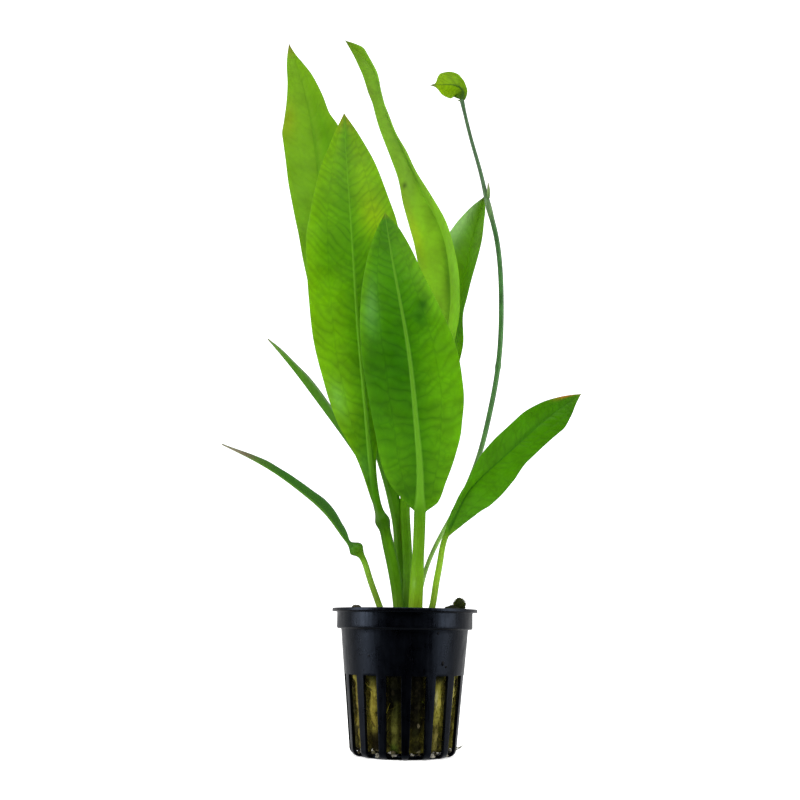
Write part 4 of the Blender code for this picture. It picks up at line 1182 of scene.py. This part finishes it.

# %% [markdown]
# Wool that has stood in water for weeks isn't one colour. It's pale where it's dry and new, and olive where
# algae grow. The near-black patches on the two front slots, and at the tops and edges of the others, are
# painted shade where little light reaches the wool; the dark patches at the feet of some slots are only
# painted darker, and one small pale patch is a painted highlight. These patches are painted by their angle
# round the pot and their height, because a noise would put them anywhere, and each slot of the photograph's
# pot has its own look.
# Angles are in degrees from the front, and the colours in screen values.

# %% Wool paint
# Each row: angle and height, their two sizes, colour and strength. The near-black rows at -12 and 12
# degrees, the dark rows at 29 mm and the one at -42 degrees are painted shade; the pale row at 33 degrees is
# a painted highlight. The dark rows at 4 to 4.4 mm are only painted darker, and the other rows are the
# wool's own colours.
WOOL_PATCHES_AND_SHADE = (
    (-12, 20, 12.5, 17, (3, 4, 0), 0.99), (12, 20, 12.5, 17, (2, 2, 0), 0.99),
    (-12, 9, 5, 6.2, (66, 68, 24), 0.75), (-9, 16.5, 3, 2.5, (40, 44, 10), 0.6),
    (-13, 3.5, 5, 1.8, (44, 62, 12), 0.7), (16, 15, 3, 5, (30, 30, 8), 0.7),
    (11, 7.5, 4, 3, (26, 28, 6), 0.6), (12, 4, 8, 2, (14, 15, 2), 0.8),
    (-36, 17.2, 11, 8, (108, 100, 36), 0.92), (-33, 22.5, 2.5, 1.8, (118, 112, 46), 0.7),
    (-36, 4.4, 11, 5.2, (14, 10, 1), 0.98), (-42, 20.5, 2.5, 3, (22, 22, 3), 0.8),
    (-36, 29, 11, 4.6, (14, 18, 2), 0.95), (-38, 12, 2, 1.5, (70, 60, 16), 0.6),
    (36, 17.5, 11, 6.8, (112, 108, 42), 0.92), (36, 5, 11, 5, (78, 74, 32), 0.95),
    (36, 29, 11, 4.5, (14, 18, 2), 0.95), (33, 19.5, 2, 3, (140, 136, 88), 0.8),
    (-60, 15, 11, 14, (96, 88, 38), 0.88), (60, 20, 11, 8, (124, 120, 62), 0.88),
    (60, 4, 11, 7, (8, 8, 2), 0.97), (-82, 15, 11, 16, (60, 56, 34), 0.8),
)


def wool_paint_and_shade(points):
    """Brown to olive by waves, then each patch, colour or painted shade, by exp(-a^4 - h^4): flat inside and
    soft at its rim.
    """
    olive_share = step(-0.5, 0.5, waves(points, 0.005, 9))[..., None]
    colour = screen(52, 46, 16) * (1 - olive_share) + screen(100, 96, 36) * olive_share
    angle, height = from_front(points), points[..., 2] / MM
    side = np.hypot(points[..., 0], points[..., 1]) > PLUG_SIDE
    for at, level, wide, tall, tint, strength in WOOL_PATCHES_AND_SHADE:
        weight = strength * np.exp(-((angle - at) / wide) ** 4 - ((height - level) / tall) ** 4)
        colour = tinted(colour, weight * side, tint)
    return np.clip(colour, 0, 1)


def wool_finish():
    """The painted patches with their painted shade, broken up by straw and by painted shade in small pits,
    with a fibrous bump and no shine.
    """
    finish, tree, shader = new_finish("rock wool")
    straw = spread(tree, cloud(tree, 0.0022, 4, (1, 1, 0.35)), 0.52, 0.68, 0.0, 0.45)
    # Dark noise spots: painted shade in the small pits of the wool.
    shaded_pits = spread(tree, cloud(tree, 0.0024, 3), 0.55, 0.70, 0.0, 0.8)
    colour = blend(tree, straw, stored(tree, "paint"), (1.9, 1.8, 2.2), "MULTIPLY")
    fibres = calc(tree, "ADD", cloud(tree, 0.0006, 4, (1, 1, 0.25)), cloud(tree, 0.0016, 3))
    feed_all(tree, shader, {
        "Base Color": blend(tree, shaded_pits, colour, screen(22, 19, 8)), "Normal": bump(tree, fibres, 0.0006),
        "Roughness": 0.8, "Specular IOR Level": 0.05,
    })
    return finish


grid_piece("rock_wool_plug", wool, wool_paint_and_shade(wool), wool_finish(), ("rock_wool",))

# %% [markdown]
# ## Fibres and roots
#
# Blender's own hair would be the usual tool for strands, but the part is exported as plain meshes. So each
# strand is a small tapered tube with three flat sides, or six on the thicker kinds. One function works
# out every strand of a kind at once: an array of strands, points along each, and sides round each point.

# %% Strands
def strands(starts, ends, sag, thickness, seed, points=7, sides=3):
    """Tapered strands: a straight line from start to end plus a random bow and wiggle, 0 at both ends."""
    draw = np.random.default_rng(seed)
    count = len(starts)
    along = np.linspace(0, 1, points)[None, :, None]
    base = starts[:, None] * (1 - along) + ends[:, None] * along
    bow = draw.normal(size=(count, 1, 3)) * np.reshape(sag, (-1, 1, 1))
    wiggle = draw.normal(size=(count, 1, 3)) * np.reshape(sag, (-1, 1, 1)) * 0.5
    centre = base + bow * np.sin(np.pi * along) + wiggle * np.sin(2 * np.pi * along)
    heading = unit(ends - starts + 1e-6)
    helper = unit(np.cross(heading, draw.normal(size=(count, 3))))
    other = np.cross(heading, helper)
    angle = np.linspace(0, 2 * np.pi, sides, endpoint=False)[None, None, :, None]
    outward = np.cos(angle) * helper[:, None, None] + np.sin(angle) * other[:, None, None]
    size = np.reshape(thickness, (-1, 1, 1, 1)) * (1 - 0.75 * along[..., None])
    grid = centre[:, :, None] + size * outward
    index = np.arange(count * points * sides).reshape(count, points, sides)
    return grid.reshape(-1, 3), [ring_quads(index).reshape(-1, 4), index[:, 0, ::-1], index[:, -1]]


def strand_piece(name, starts, ends, sag, thickness, seed, colours, finish, slot, **shape):
    """One mesh of many strands, each strand with its own colour."""
    points, faces = strands(starts, ends, sag, thickness, seed, **shape)
    paint = np.repeat(colours, len(points) // len(colours), axis=0)
    piece(name, mesh_of(name, points, faces), finish, paint=paint)


def picked(choices, weights, count, seed):
    """A random colour for each strand from a short list, made lighter or darker a little."""
    draw = np.random.default_rng(seed)
    colours = np.array([screen(*choice) for choice in choices])
    chosen = colours[draw.choice(len(choices), size=count, p=weights)]
    return np.clip(chosen * draw.uniform(0.7, 1.25, (count, 1)), 0, 1)


fibre_finish = rod_finish("fibres", rough=0.7, through=0.15, mottle=0.2, shine=0.06)

# %% Fibres down the wall and over the top
WALL_FIBRES = 2200
TOP_FIBRES = 900
TOP_REACH = 0.0212
draw = np.random.default_rng(17)
angle = draw.uniform(0, 2 * np.pi, WALL_FIBRES)
low = draw.uniform(0.002, 0.034, WALL_FIBRES)
long = draw.uniform(0.003, 0.010, WALL_FIBRES)
slant = draw.normal(0, 0.16, WALL_FIBRES)
inset = draw.uniform(0.0002, 0.0013, WALL_FIBRES)


def on_wool(angle, height, inset):
    """A point inside the pot's wall at this angle and height, this far in from it."""
    radius = wall_radius(height) - WALL - 0.0002 - inset
    radius = np.where(height < BASE_CORNER, radius - (BASE_CORNER - height) * 0.8, radius)
    return around(radius, angle, height)


starts = on_wool(angle, low, inset)
ends = on_wool(angle + slant, low + long * draw.choice([1, 0.6, 0.25], WALL_FIBRES), inset + 0.0002)
wool_tints = ((255, 252, 205), (245, 240, 170), (200, 180, 120), (170, 205, 110))
wool_colours = picked(wool_tints, (0.30, 0.35, 0.20, 0.15), WALL_FIBRES, 19)
# Each fibre takes the wool's paint where it starts, painted shade and highlight included.
wool_colours = np.clip(wool_colours * wool_paint_and_shade(starts) * 1.35, 0, 1)
strand_piece("wool_fibres", starts, ends, 0.0003 + 0.04 * long, draw.uniform(0.00005, 0.00013, WALL_FIBRES),
             18, wool_colours, fibre_finish, "rock_wool")

angle = draw.uniform(0, 2 * np.pi, TOP_FIBRES)
starts = around(draw.uniform(0.0118, 0.0205, TOP_FIBRES), angle, WOOL_TOP)
turn = draw.uniform(0, 2 * np.pi, TOP_FIBRES)
long = draw.uniform(0.0012, 0.0045, TOP_FIBRES)
ends = starts + around(long, turn, draw.uniform(0.0001, 0.0014, TOP_FIBRES))
ends[:, :2] *= np.minimum(1, TOP_REACH / np.linalg.norm(ends[:, :2], axis=1, keepdims=True))
top_tints = ((150, 140, 85), (110, 95, 50), (80, 65, 32), (65, 85, 30))
top_colours = picked(top_tints, (0.35, 0.3, 0.2, 0.15), TOP_FIBRES, 21)
strand_piece("top_fibres", starts, ends, 0.12 * long, draw.uniform(0.00004, 0.0001, TOP_FIBRES), 20,
             top_colours, fibre_finish, "rock_wool")

# %% [markdown]
# ## Lumps: moss on the wool and crumbs in the feet of the slots
#
# Cushions of moss sit on the wool, the largest two against the rim on the right, and crumbs of wool lie
# where each slot turns under the pot. Both are the same thing at different sizes: a ball pushed in and
# out by waves. The moss also gets short curled leaves, which are strands that start on the ball and
# point away from it.

# %% Lumps
def ball_grid(rows, columns):
    """Points of a ball between its poles: sin and cos of two angles."""
    polar = np.linspace(0, np.pi, rows + 2)[1:-1, None]
    turns = np.linspace(0, 2 * np.pi, columns, endpoint=False)
    return around(np.sin(polar), turns, np.cos(polar))


def lump(centre, sizes, seed, rows, columns, rough):
    """A ball pushed out by waves and scaled to three sizes; its poles are closed by fans."""
    ball = ball_grid(rows, columns) * (1, 1, -1)
    ball = ball * (1 + rough * waves(ball, 1.1, seed) + rough * 0.5 * waves(ball, 0.5, seed + 1))[..., None]
    return with_ends(ball * sizes + centre), tube_faces(rows, columns)


def round_pot(angle, radius, height):
    """A point at this angle from the front in degrees."""
    return np.array([radius * np.sin(np.radians(angle)), -radius * np.cos(np.radians(angle)), height])


def joined(name, parts):
    """Several meshes as one: their points in a row, and their faces with the indices moved on."""
    faces, moved = [], 0
    for points, blocks in parts:
        faces += [block + moved for block in blocks]
        moved += len(points)
    return mesh_of(name, np.concatenate([points for points, _ in parts]), faces)


def lump_piece(name, lumps, colours, finish):
    """One mesh of many lumps, each lump with its own colour."""
    paint = np.repeat(colours, [len(points) for points, _ in lumps], axis=0)
    piece(name, joined(name, lumps), finish, paint=paint)


CRUMB_TINTS = ((152, 150, 142), (122, 119, 106), (86, 82, 60), (132, 129, 118), (66, 60, 40))
FIRST_CRUMB_SEED = 200
FLECK_SEED = 300
draw = np.random.default_rng(29)
crumbs, crumb_colours = [], []
for slot in range(SLOTS):
    middle = 360 / SLOTS * (slot + 0.5) + SLOT_TURN
    for tint in CRUMB_TINTS:
        angle, radius = middle + draw.uniform(-5, 5), draw.uniform(0.0160, 0.0176)
        place = round_pot(angle, radius, draw.uniform(0.0008, 0.0030))
        size = draw.uniform(0.0003, 0.0008)
        crumbs.append(lump(place, (size, size, size * 0.7), FIRST_CRUMB_SEED + len(crumbs), 7, 10, 0.5))
        crumb_colours.append(screen(*tint) * draw.uniform(0.8, 1.1))
fleck = lump(round_pot(15.5, 0.0184, 0.0112), (0.0005, 0.0004, 0.0007), FLECK_SEED, 9, 12, 0.4)
crumbs.append(fleck)
crumb_colours.append(screen(78, 72, 52))
crumb_finish = rod_finish("pale wool", rough=0.8, through=0.1, mottle=0.3, streak=0.0012, shine=0.1)
lump_piece("slot_crumbs", crumbs, crumb_colours, crumb_finish)

# %% Moss
MOSS = (
    ((19.4, -3, 51.7), (2.2, 2, 2.5), 520, (62, 72, 12)),
    ((17.8, -3.4, 49.9), (4, 2, 1.8), 240, (50, 54, 14)),
    ((-17.2, -6, 49.2), (2.4, 1.8, 2), 130, (95, 90, 62)),
    ((12, 15, 46), (2.6, 2.2, 1.6), 150, (70, 85, 25)),
    ((-13.5, 13, 45.7), (2, 2.4, 1.4), 120, (62, 78, 24)),
    ((-3, 18.5, 45.8), (3, 1.8, 1.3), 130, (80, 82, 30)),
    ((16, -9, 45.2), (2.2, 1.8, 1.2), 90, (66, 72, 24)),
)
# The cushions under the moss leaves get a quarter of the moss colour: painted shade for the inside of the
# moss.
CUSHION_PAINTED_SHADE = 0.25
FIRST_MOSS_SEED = 400
moss_finish = rod_finish("moss", rough=0.65, through=0.15, mottle=0.35, streak=0.0012, shine=0.1)
places, shapes = (MM * np.array([row[column] for row in MOSS]) for column in (0, 1))
counts, colours = [row[2] for row in MOSS], [screen(*row[3]) for row in MOSS]
cushions = [lump(places[k], shapes[k], FIRST_MOSS_SEED + k, 15, 22, 0.09) for k in range(len(MOSS))]
lump_piece("moss_cushions", cushions, [colour * CUSHION_PAINTED_SHADE for colour in colours], moss_finish)
draw = np.random.default_rng(37)
starts, ends, leaf_colours = [], [], []
for place, sizes, count, colour in zip(places, shapes, counts, colours):
    away = unit(draw.normal(size=(count, 3)) + np.array([0, 0, 0.3]))
    starts.append(place + away * sizes * 0.85)
    heading = away + draw.normal(0, 0.7, (count, 3))
    ends.append(starts[-1] + heading * draw.uniform(0.0002, 0.0005, (count, 1)))
    leaf_colours.append(colour * draw.uniform(0.5, 1.7, (count, 1)))
starts, ends, leaf_colours = (np.concatenate(arrays) for arrays in (starts, ends, leaf_colours))
strand_piece("moss_leaves", starts, ends, 0.00018, 0.00011, 38, np.clip(leaf_colours, 0, 1), moss_finish,
             "rock_wool", points=5)

# %% [markdown]
# ## The crown and the roots
#
# All the stalks spring from one crown, a pale knob of overlapping leaf bases that sits in the wool's
# hollow. Old bases dry to brown scales round it, and young roots run out over the wool. One wisp of
# root has found its way out of a slot low on the right.

# %% Crown
CROWN_PROFILE = (
    (0.4, 36.8), (6, 36.7), (7.8, 37.8), (8.5, 39.6), (8, 41.2), (6.2, 42.4), (3, 43.1), (0.4, 43.2),
)
turns = np.linspace(0, 2 * np.pi, 96, endpoint=False)
profile = MM * spline(CROWN_PROFILE, np.linspace(0, 1, 40))
radius, height = profile[:, :1], profile[:, 1:]
folds = 1 + 0.045 * np.cos(9 * turns + 260 * height) + 0.02 * np.cos(17 * turns)
crown = around(radius * folds, turns, height)
upper = step(0.037, 0.042, crown[..., 2])[..., None]
crown_paint = screen(105, 88, 48) * (1 - upper) + screen(150, 170, 78) * upper
crown_finish = rod_finish("crown", rough=0.5, through=0.15, mottle=0.3, streak=0.002)
grid_piece("crown_base", crown, crown_paint, crown_finish, ("crown",))

SCALES = ((20, 7.2), (75, 6.6), (128, 7.4), (190, 6.8), (246, 7.2), (305, 6.4))
for number, (angle, out) in enumerate(SCALES):
    foot = round_pot(angle, out, 40.5)
    tip = round_pot(angle + 14, out + 1.6, 46.2 + 0.9 * (number % 3))
    make_rod(
        f"old_scale_{number + 1}", (foot, (foot + tip) / 2 + round_pot(angle, 0.6, 0), tip),
        ((0, 1), (0.4, 0.8), (1, 0.1)), ((0, 150, 150, 80), (0.4, 120, 95, 50), (1, 80, 58, 32)),
        crown_finish, rows=20, columns=10,
    )

# %% Roots
ROOTS = 46
draw = np.random.default_rng(43)
angle = draw.uniform(0, 2 * np.pi, ROOTS)
inner, outer = draw.uniform(0.0078, 0.0086, ROOTS), draw.uniform(0.0100, 0.0165, ROOTS)
swing = draw.normal(0, 0.45, ROOTS)
starts = around(inner, angle, draw.uniform(0.0385, 0.0410, ROOTS))
ends = around(outer, angle + swing, np.where(outer < HOLLOW_TOP_RADIUS, 0.0425, WOOL_TOP + 0.0004))
root_colours = picked(((215, 205, 160), (190, 175, 120), (150, 130, 80)), (0.4, 0.35, 0.25), ROOTS, 45)
root_finish = rod_finish("root", rough=0.45, through=0.3, mottle=0.2)
strand_piece("crown_roots", starts, ends, 0.0007, draw.uniform(0.00012, 0.00024, ROOTS), 44, root_colours,
             root_finish, "crown", points=16, sides=6)

wisp_starts = MM * np.array([[17.4, -5.6, 2.8], [17.6, -5.4, 3.4], [17.5, -5.8, 2.4]])
wisp_ends = MM * np.array([[21.3, -7, 5.6], [20.8, -6.6, 4.2], [20, -6.8, 3.3]])
wisp_colours = picked(((120, 120, 100), (95, 95, 72)), (0.6, 0.4), 3, 48)
strand_piece("slot_root", wisp_starts, wisp_ends, 0.0004, 0.00024, 47, wisp_colours, root_finish,
             "rock_wool", points=14, sides=6)

# %% [markdown]
# ## Water on the pot
#
# A few drops still cling to the plastic. On black they hardly shine: they show as small dark lenses with
# one bright point. Each is a flattened ball, sunk halfway into the wall.

# %% Drops
DROPS = (
    (30, 41.8, 0.5, 1), (37, 31.8, 0.6, 1.5), (41, 30.6, 0.45, 1), (3, 34.5, 0.3, 2.6), (6, 33, 0.28, 3),
    (-34, 34, 0.4, 1), (118, 35, 0.55, 1.3), (171, 33, 0.5, 1.2), (-128, 36, 0.5, 1.1),
    (-95, 32.5, 0.45, 1.4),
)


def drop(angle, height, size, tall):
    """A ball on the wall: x along the wall, z up, and y out of the wall, flattened to a third."""
    x, z, y = np.moveaxis(ball_grid(9, 18) * (size, size * tall, size / 3) * MM, -1, 0)
    turn, height = np.radians(angle), height * MM
    out = wall_radius(height) - 0.00002 + y
    placed = (x * np.cos(turn) + out * np.sin(turn), x * np.sin(turn) - out * np.cos(turn), height + z)
    return with_ends(np.stack(placed, axis=-1)), tube_faces(9, 18)


def water_finish():
    """The black of the plastic under a clear, smooth and slightly rippled skin."""
    finish, tree, shader = new_finish("water on black")
    feed_all(tree, shader, {
        "Base Color": (0.0005, 0.0005, 0.001), "Roughness": mottled(tree, 0.03, 0.10, 0.0006, 1),
        "IOR": 1.33, "Specular IOR Level": 0.12,
    })
    return finish


drop_mesh = joined("water_drops", [drop(*row) for row in DROPS])
drop_mesh.flip_normals()
piece("water_drops", drop_mesh, water_finish())

# %% [markdown]
# ## Floor, light and camera
#
# The plant was photographed on white between large soft lights, with a bright background behind.
# The leaves glow because light comes through them, and the pot stays black in the middle because nothing
# bright stands in front of it. A sky that is bright behind and beside the plant and dim in front gives
# both, with a softbox at each side and one above. The camera sees plain white past the plant.

# %% Stage
def white_floor():
    """White that also gives a little light of its own, as a lit table does."""
    finish, tree, shader = new_finish("white floor")
    feed_all(tree, shader, {
        "Base Color": (0.9, 0.9, 0.9), "Roughness": 0.9, "Specular IOR Level": 0.0,
        "Emission Color": (1, 1, 1), "Emission Strength": 0.45,
    })
    return finish


FLOOR_HALF = 6.0
FLOOR_DROP = 0.0001
corners = np.array([(-1, -1, 0), (1, -1, 0), (1, 1, 0), (-1, 1, 0)]) * FLOOR_HALF - (0, 0, FLOOR_DROP)
floor_mesh = mesh_of("floor", corners, [np.array([[0, 1, 2, 3]])], smooth=False)
floor_mesh.materials.append(white_floor())
floor = add_object("floor", floor_mesh)
floor.visible_glossy = False
floor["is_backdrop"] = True

DARK_FRONT = (-0.72, -0.42, 0.004, 0.80)
BRIGHT_BACK = (0.2, 0.8, 0.0, 0.80)
BRIGHT_TOP = (0.5, 0.95, 0.0, 1.2)
world = bpy.data.worlds.new("studio")
world.use_nodes = True
scene.world = world
sky = world.node_tree
_, depth, height = split(sky, sky.nodes.new("ShaderNodeTexCoord").outputs["Generated"])
level = calc(sky, "ADD", spread(sky, depth, *DARK_FRONT), spread(sky, depth, *BRIGHT_BACK))
strength = calc(sky, "MAXIMUM", level, spread(sky, height, *BRIGHT_TOP))
sight = sky.nodes.new("ShaderNodeLightPath")
dimmer = calc(sky, "MULTIPLY_ADD", sight.outputs["Is Glossy Ray"], -0.55, 1.0)
strength = times(sky, strength, dimmer)
seen = calc(sky, "MAXIMUM", strength, times(sky, sight.outputs["Is Camera Ray"], 1.02))
feed_all(sky, sky.nodes["Background"], {"Color": (1, 1, 1), "Strength": seen})


def soft_light(name, place, target, size, power):
    """A rectangular area light at place, facing target."""
    data = bpy.data.lights.new(name, "AREA")
    data.shape = "RECTANGLE"
    data.size, data.size_y = size
    data.energy = power
    lamp = add_object(name, data)
    away = Vector(place) - Vector(target)
    lamp.matrix_world = Matrix.Translation(place) @ away.to_track_quat("Z", "Y").to_matrix().to_4x4()
    lamp.visible_camera = False


soft_light("left softbox", (-0.85, -0.25, 0.35), (0, 0, 0.13), (0.5, 0.9), 6.2)
soft_light("right softbox", (0.85, -0.25, 0.35), (0, 0, 0.13), (0.5, 0.9), 4.6)
soft_light("high softbox", (0.0, -0.60, 0.85), (0, 0, 0.15), (0.9, 0.5), 7.0)
scene.view_settings.view_transform = "Standard"

# %% Camera
CAMERA_PLACE = (-0.0028, -0.405, 0.042)
CAMERA_TILT = 11.8
CAMERA_ROLL = 0.8
lens = bpy.data.cameras.new("camera")
lens.lens = 50
lens.sensor_width = 36
camera = add_object("camera", lens)
tilt = Matrix.Rotation(np.radians(90 + CAMERA_TILT), 4, "X")
roll = Matrix.Rotation(np.radians(CAMERA_ROLL), 4, "Z")
camera.matrix_world = Matrix.Translation(CAMERA_PLACE) @ tilt @ roll
scene.camera = camera

# %% The sizes of the CAD model and of the scene
sizes = {"cad": [list(corner) for corner in cad_box], "visual": [list(corner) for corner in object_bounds()]}
print("sizes in metres:", sizes)
